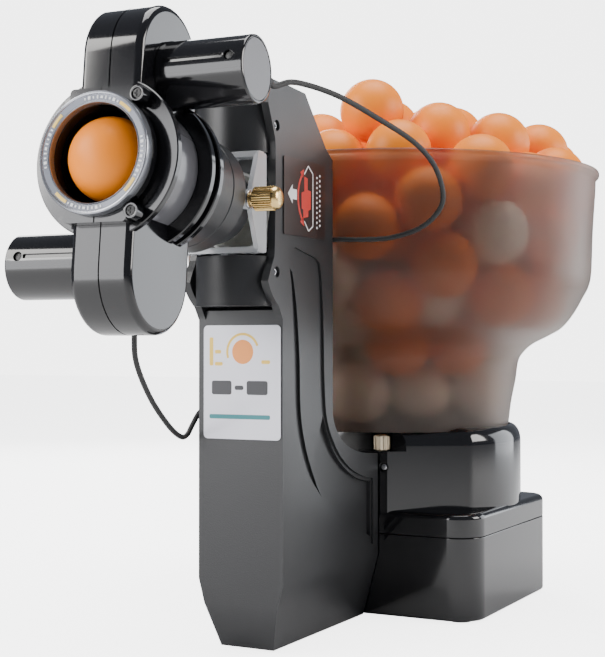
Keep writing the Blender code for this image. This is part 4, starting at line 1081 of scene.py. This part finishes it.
@dataclass
class Yoke:
    """Clear bracket that swings the head, with the pivot tube and its knob."""

    half: float = 24.5
    inner: float = 21.8
    low: float = 215.5
    top: float = 268.5

    def bracket(self) -> None:
        """Frame with two triangular arms."""
        frame_plan = rounded((-self.half, self.low), (self.half, self.top), 1.5, 5)
        hole_plan = rounded((-self.inner, self.low + 3), (self.inner, self.top - 3), 1.0, 5)
        joins, cuts = [], [rod(Axis.Z, (0, PAN_Y, 0), 2.8, 200, 290, 32)]
        for side in (-1, 1):
            arm = [(PAN_Y - 9, self.low), (PAN_Y - 3, self.low), (PAN_Y - 3, self.top), (PAN_Y - 9, self.top)]
            arm += arc((PIVOT_Y, PIVOT_Z), 5.2, 60, 300, 24)
            joins.append(mirror_x(prism(arm, Axis.X, self.inner, self.half), side))
            cuts.append(mirror_x(rod(Axis.X, (0, PIVOT_Y, PIVOT_Z), 2.6, 15, 32, 32), side))
        for low in (self.low, self.top - 3):
            joins.append(rod(Axis.Z, (0, PAN_Y, 0), 7.5, low, low + 3, 48))
        Piece("clear_bracket", CLEAR, "pan", PAN, ("yoke_bracket",), "clear").build(
            prism(frame_plan, Axis.Y, PAN_Y - 10, PAN_Y, hole_plan), joins, cuts, bevel=0.45, segments=3)

    def tube(self) -> None:
        """Rear tube and its collar."""
        points = [(20.5, -9), (21.1, -9), (21.4, -8.7), (21.4, 13.6), (22.2, 14), (28.9, 14), (29.5, 14.6),
                  (29.5, 27), (29.1, 27.4), (29.1, 28.2), (29.5, 28.6), (29.5, 42.4), (28.4, 43.5), (20.5, 43.5)]
        shape = turned([(r, PIVOT_Y - q) for r, q in points], Axis.Y, (0, 0, PIVOT_Z))
        cuts = [rod(Axis.X, (0, PIVOT_Y, PIVOT_Z), 2.3, 20.9, 40, 32), rod(Axis.X, (0, PIVOT_Y, PIVOT_Z), 2.3, -40, -20.9, 32)]
        Piece("pivot_tube", SATIN, "tilt", HEAD, ("tilt_tube",), "black_satin").build(shape, cuts=cuts, bevel=0)

    def hardware(self, tree: bpy.types.NodeTree) -> None:
        """Knob with its knurl, washer and pivot pin."""
        centre = (0, PIVOT_Y, PIVOT_Z)
        profile = [(0, 21), (2.2, 21), (2.2, 26), (3.6, 26), (3.6, 28), (5.4, 28), (6.0, 28.5), (6.0, 39.4), (5.9, 40.2),
                   (5.5, 41.0), (4.8, 41.7), (3.8, 42.2), (2.4, 42.4), (0, 42.4)]
        Piece("brass_knob", BRASS, "knob", HEAD, ("tilt_knob",), "brass").build(turned(profile, Axis.X, centre, 64),
                                                                               bevel=0)
        grip = Piece("brass_knob_knurl", BRASS, "knob", HEAD, slot="brass")
        turn = Matrix.Translation((33.7, PIVOT_Y, PIVOT_Z)) @ Matrix.Rotation(math.radians(90), 4, "Y")
        knurl(grip, tree, turn, 5.9, 10.6, 34, 0.40)
        washer = turned([(2.7, 24.8), (5.0, 24.8), (5.0, 25.7), (2.7, 25.7)], Axis.X, centre, 48)
        Piece("knob_washer", STEEL, "tilt", HEAD, ("tilt_washer",), "steel").build(washer, bevel=0.15)
        pin = rod(Axis.X, centre, 2.2, -26.5, -21.0, 32)
        Piece("pivot_pin", STEEL, "tilt", HEAD, ("tilt_pin",), "steel").build(pin, bevel=0.4)

    def build(self, tree: bpy.types.NodeTree) -> None:
        """Build bracket, tube and hardware."""
        self.bracket()
        self.tube()
        self.hardware(tree)


# ---------------------------------------------------------------- head

@dataclass
class Head:
    """Wheel housing with its barrel, muzzle, motor covers and the ball in the muzzle."""

    front: float = 99.5
    rear: float = 43.8
    half: float = 16.0
    reach: float = 78.0
    wheel_q: float = 71.0
    wheel_u: float = 44.5
    bore: float = 22.9

    def outline(self, inset: float) -> List[Point2]:
        """Side outline of the housing as (y, z)."""
        radius = (self.front - self.rear) / 2
        middle = PIVOT_Y - (self.front + self.rear) / 2
        span = self.reach - radius
        points = arc((middle, PIVOT_Z + span), radius - inset, 0, 180, 48)
        return points + arc((middle, PIVOT_Z - span), radius - inset, 180, 360, 48)

    def along(self, points: Sequence[Point2]) -> List[Point2]:
        """Turn (radius, q) points into (radius, y)."""
        return [(r, PIVOT_Y - q) for r, q in points]

    def housing(self) -> None:
        """Slot-shaped housing with round edges, centre seam, barrel bulge and ribs."""
        shape = prism(self.outline(0), Axis.X, -self.half, self.half)
        soften(shape, 3.4, 6, lambda p: abs(abs(p.x) - self.half) < 0.01)
        seam = prism(self.outline(-2), Axis.X, -0.35, 0.35, self.outline(0.7))
        axis = (0, 0, PIVOT_Z)
        profile = [(15, 44.4), (30, 44.4)]
        for low, high in ((54, 58), (62.5, 66.5), (95, 98.9)):
            profile += [(30, low), (37.0, low), (37.5, low + 0.5), (37.5, high - 0.5), (37.0, high), (30, high)]
        profile = profile[:-1] + [(15, 98.9)]
        sleeve = turned(self.along([(26.0, 66.9), (30.4, 66.9), (30.4, 94.6), (26.0, 94.6)]), Axis.Y, axis, 128)
        bulge = turned(self.along(profile), Axis.Y, axis, 128)
        wheel_y = PIVOT_Y - self.wheel_q
        cuts = [seam, rod(Axis.Y, axis, self.bore, PIVOT_Y - 130, PIVOT_Y - 30)]
        for side in (-1, 1):
            centre = (0, wheel_y, PIVOT_Z + side * self.wheel_u)
            cuts.append(rod(Axis.X, centre, 26.0, -10, 10))
            cuts.append(mirror_x(rod(Axis.X, centre, 18.0, 16.05, 90), side))
            cuts.append(mirror_x(rod(Axis.X, centre, 3.2, 5, 40, 32), side))
        Piece("head_housing", GLOSS, "head", HEAD, ("housing_left", "housing_right"), "black_gloss").build(
            shape, [bulge], cuts, bevel=0.3)
        rooms = [mirror_x(rod(Axis.X, (0, wheel_y, PIVOT_Z + side * self.wheel_u), 18.0, 10.0, 90), side)
                 for side in (-1, 1)]
        Piece("barrel_sleeve", SLEEVE, "head", HEAD).build(sleeve, cuts=rooms, bevel=0)

    def covers(self) -> None:
        """Motor covers with channel, end cap, rim and boss."""
        for level, side in (("upper", 1), ("lower", -1)):
            centre = (0, PIVOT_Y - self.wheel_q, PIVOT_Z + side * self.wheel_u)
            cup = [(13.8, 16.3), (16.3, 16.3), (16.3, 18.2), (16.0, 18.8), (16.0, 60.0), (15.7, 60.7), (15.1, 61.0),
                   (14.7, 61.0), (14.4, 60.4), (0, 60.4), (0, 58.5), (13.8, 58.5)]
            shape = mirror_x(turned(cup, Axis.X, centre, 96), side)
            cuts = []
            lean = Matrix.Translation(centre) @ Matrix.Rotation(math.radians(80), 4, "X")
            channel = prism(rounded((19.0, -1.1), (50.5, 1.1), 0.6, 5), Axis.Z, 15.0, 22)
            pocket = rod(Axis.Z, (53.6, 0, 0), 2.4, 14.2, 22, 32)
            for tool in (channel, pocket):
                bmesh.ops.transform(tool, matrix=lean, verts=tool.verts[:])
                cuts.append(mirror_x(tool, side))
            Piece(f"cover_{level}", GLOSS, "head", HEAD, (f"{level}_motor_cover",), "black_gloss").build(
                shape, cuts=cuts, bevel=0.25)
            # The end cap's grey is a painted reflection of the glossy black end face.
            cap = mirror_x(rod(Axis.X, centre, 14.2, 60.45, 60.85, 96), side)
            Piece(f"cover_cap_{level}", CAP_REFLECTION_GREY, "head", HEAD).build(cap, bevel=0.15)
            bolt = rod(Axis.Z, (53.6, 0, 0), 1.8, 14.3, 15.0, 32)
            bmesh.ops.transform(bolt, matrix=lean, verts=bolt.verts[:])
            Piece(f"cover_bolt_{level}", FITTING, "head", HEAD).build(mirror_x(bolt, side), bevel=0.2)

    def muzzle(self, tree: bpy.types.NodeTree) -> None:
        """Square muzzle block with bosses and screws, ring bezel with printed dashes."""
        low = PIVOT_Y - 105.5
        shape = prism([(x, PIVOT_Z + z) for x, z in rounded((-16.5, -31), (16.5, 31), 2, 6)], Axis.Y, low,
                      PIVOT_Y - 99.8)
        backing = turned(self.along([(15, 100.1), (27.2, 100.1), (28.0, 100.9), (28.0, 104.6), (27.6, 105.1),
                                     (15, 105.1)]), Axis.Y, (0, 0, PIVOT_Z), 128)
        spots = [(19.5, -26.5), (19.5, 26.5)]
        bosses = [rod(Axis.Y, (x, 0, PIVOT_Z + z), 3.6, low - 1.4, low + 4, 40) for x, z in spots]
        cuts = [rod(Axis.Y, (0, 0, PIVOT_Z), self.bore, low - 5, PIVOT_Y - 90),
                block((-0.3, low - 5, PIVOT_Z - 33), (0.3, low + 0.5, PIVOT_Z + 33))]
        cuts += [rod(Axis.Y, (x, 0, PIVOT_Z + z), 2.5, low - 6, low - 0.2, 32) for x, z in spots]
        Piece("muzzle_frame", GLOSS, "head", HEAD, ("muzzle_block",), "black_gloss").build(
            shape, [backing] + bosses, cuts, bevel=0.6, segments=3)
        for number, (x, z) in enumerate(spots, 1):
            screw = rod(Axis.Y, (x, 0, PIVOT_Z + z), 2.1, low - 1.1, low - 0.3, 32)
            slot = block((x - 1.4, low - 3, PIVOT_Z + z - 0.3), (x + 1.4, low - 0.7, PIVOT_Z + z + 0.3))
            cross = block((x - 0.3, low - 3, PIVOT_Z + z - 1.4), (x + 0.3, low - 0.7, PIVOT_Z + z + 1.4))
            Piece(f"muzzle_bolt_{number}", FITTING, "head", HEAD, (f"muzzle_screw_{number}",), "steel").build(
                screw, cuts=[slot, cross], bevel=0.12)
        ring = [(22.9, 105.8), (28.4, 105.8), (28.4, 109.2), (28.1, 109.8), (27.5, 110), (26.9, 109.8), (26.7, 109.4),
                (23.8, 109.0), (23.5, 109.5), (23.1, 109.3), (22.9, 108.8)]
        Piece("muzzle_bezel", BEZEL, "head", HEAD, ("muzzle_ring",), "silver_label").build(
            turned(self.along(ring), Axis.Y, (0, 0, PIVOT_Z), 128), bevel=0, sharp=30)
        band = [(23.9, 108.6), (26.6, 108.9), (26.6, 109.5), (23.9, 109.2)]
        Piece("muzzle_band", RING_GREY, "head", HEAD).build(turned(self.along(band), Axis.Y, (0, 0, PIVOT_Z), 128),
                                                             bevel=0)
        for number, middle in enumerate((52, 142, 232, 322), 1):
            line = arc((0, PIVOT_Z), 26.1, middle - 8, middle + 8, 12) + arc((0, PIVOT_Z), 24.6, middle + 8, middle - 8, 12)
            Piece(f"muzzle_dash_{number}", INK_YELLOW, "head", HEAD).build(
                prism(line, Axis.Y, PIVOT_Y - 109.6, PIVOT_Y - 109.0), bevel=0)
        marks = bmesh.new()
        for middle in (7, 97, 187, 277):
            for step in range(-4, 5):
                turn = math.radians(middle + step * 5.0)
                size = (0.7 if step % 3 else 1.3, 0.5, 1.5 if step % 2 else 1.1)
                bmesh.ops.create_cube(marks, size=1.0, matrix=Matrix.Translation(
                    (25.3 * math.sin(turn), PIVOT_Y - 109.35, PIVOT_Z + 25.3 * math.cos(turn)))
                    @ Matrix.Rotation(turn, 4, "Y") @ Matrix.Diagonal((*size, 1)))
        Piece("muzzle_marks", INK_WHITE, "head", HEAD).build(marks, bevel=0)

    def loaded_ball(self, balls: bpy.types.NodeTree) -> None:
        """The orange ball that waits in the muzzle."""
        obj = grown("muzzle_ball", balls, [(0, PIVOT_Y - 93.0, PIVOT_Z)], Radius=20.0, Segments=64, Rings=40,
                    Material=ORANGE.material())
        Piece("muzzle_ball", ORANGE, "head", HEAD).finish(obj, 60)

    def glands(self) -> None:
        """Rubber glands where the leads leave the covers."""
        exit_q = self.wheel_q - 16.3
        for level, x, side in (("upper", 57.0, 1), ("lower", -26.0, -1)):
            line = [(0, exit_q), (3.1, exit_q), (3.1, exit_q - 1.2), (2.6, exit_q - 1.6), (2.5, exit_q - 4.7),
                    (0, exit_q - 4.7)]
            shape = turned(self.along(line), Axis.Y, (x, 0, PIVOT_Z + side * self.wheel_u), 40)
            Piece(f"gland_{level}", RUBBER, "head", HEAD, (f"{level}_motor_gland",), "black_rubber").build(
                shape, bevel=0.15)

    def build(self, tree: bpy.types.NodeTree, balls: bpy.types.NodeTree) -> None:
        """Build the head."""
        self.housing()
        self.covers()
        self.muzzle(tree)
        self.glands()
        self.loaded_ball(balls)


CARRIED: Dict[str, Look] = {
    "ball_duct_lower": WHITE, "ball_duct_upper": WHITE, "board_heatsink": STEEL, "control_board": BOARD,
    "feed_motor": STEEL, "feed_rotor": WHITE, "feed_shaft": STEEL, "lower_motor": STEEL, "upper_motor": STEEL,
    "lower_motor_shaft": STEEL, "upper_motor_shaft": STEEL, "lower_wheel_hub": WHITE, "upper_wheel_hub": WHITE,
    "lower_wheel_tyre": TYRE, "upper_wheel_tyre": TYRE, "pan_pin": STEEL, "pan_shaft": STEEL, "pan_servo": FITTING,
    "rubber_pad_1": RUBBER, "rubber_pad_2": RUBBER, "rubber_pad_3": RUBBER, "rubber_pad_4": RUBBER,
    "rubber_pad_5": RUBBER,
}


def dress_carried() -> None:
    """Give every CAD node that stays visible its finish."""
    for name, look in CARRIED.items():
        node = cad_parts[name]
        node.data.materials.clear()
        node.data.materials.append(look.material())


def main() -> None:
    """Build the stage, the leads and every sub-assembly in order."""
    logging.basicConfig(level=logging.INFO, format="%(message)s", stream=sys.stdout)
    build_camera()
    Lead("lead_upper", "upper_lead", UPPER_ROUTE, (0.42, 0.66)).build()
    Lead("lead_lower", "lower_lead", LOWER_ROUTE, (0.40, 0.68)).build()
    rods, balls = ring_tree(), ball_tree()
    Base().build(rods)
    Hopper().build(balls)
    Column().build(balls)
    Yoke().build(rods)
    Head().build(rods, balls)
    dress_carried()
    build_light()


if __name__ == "__main__":
    main()
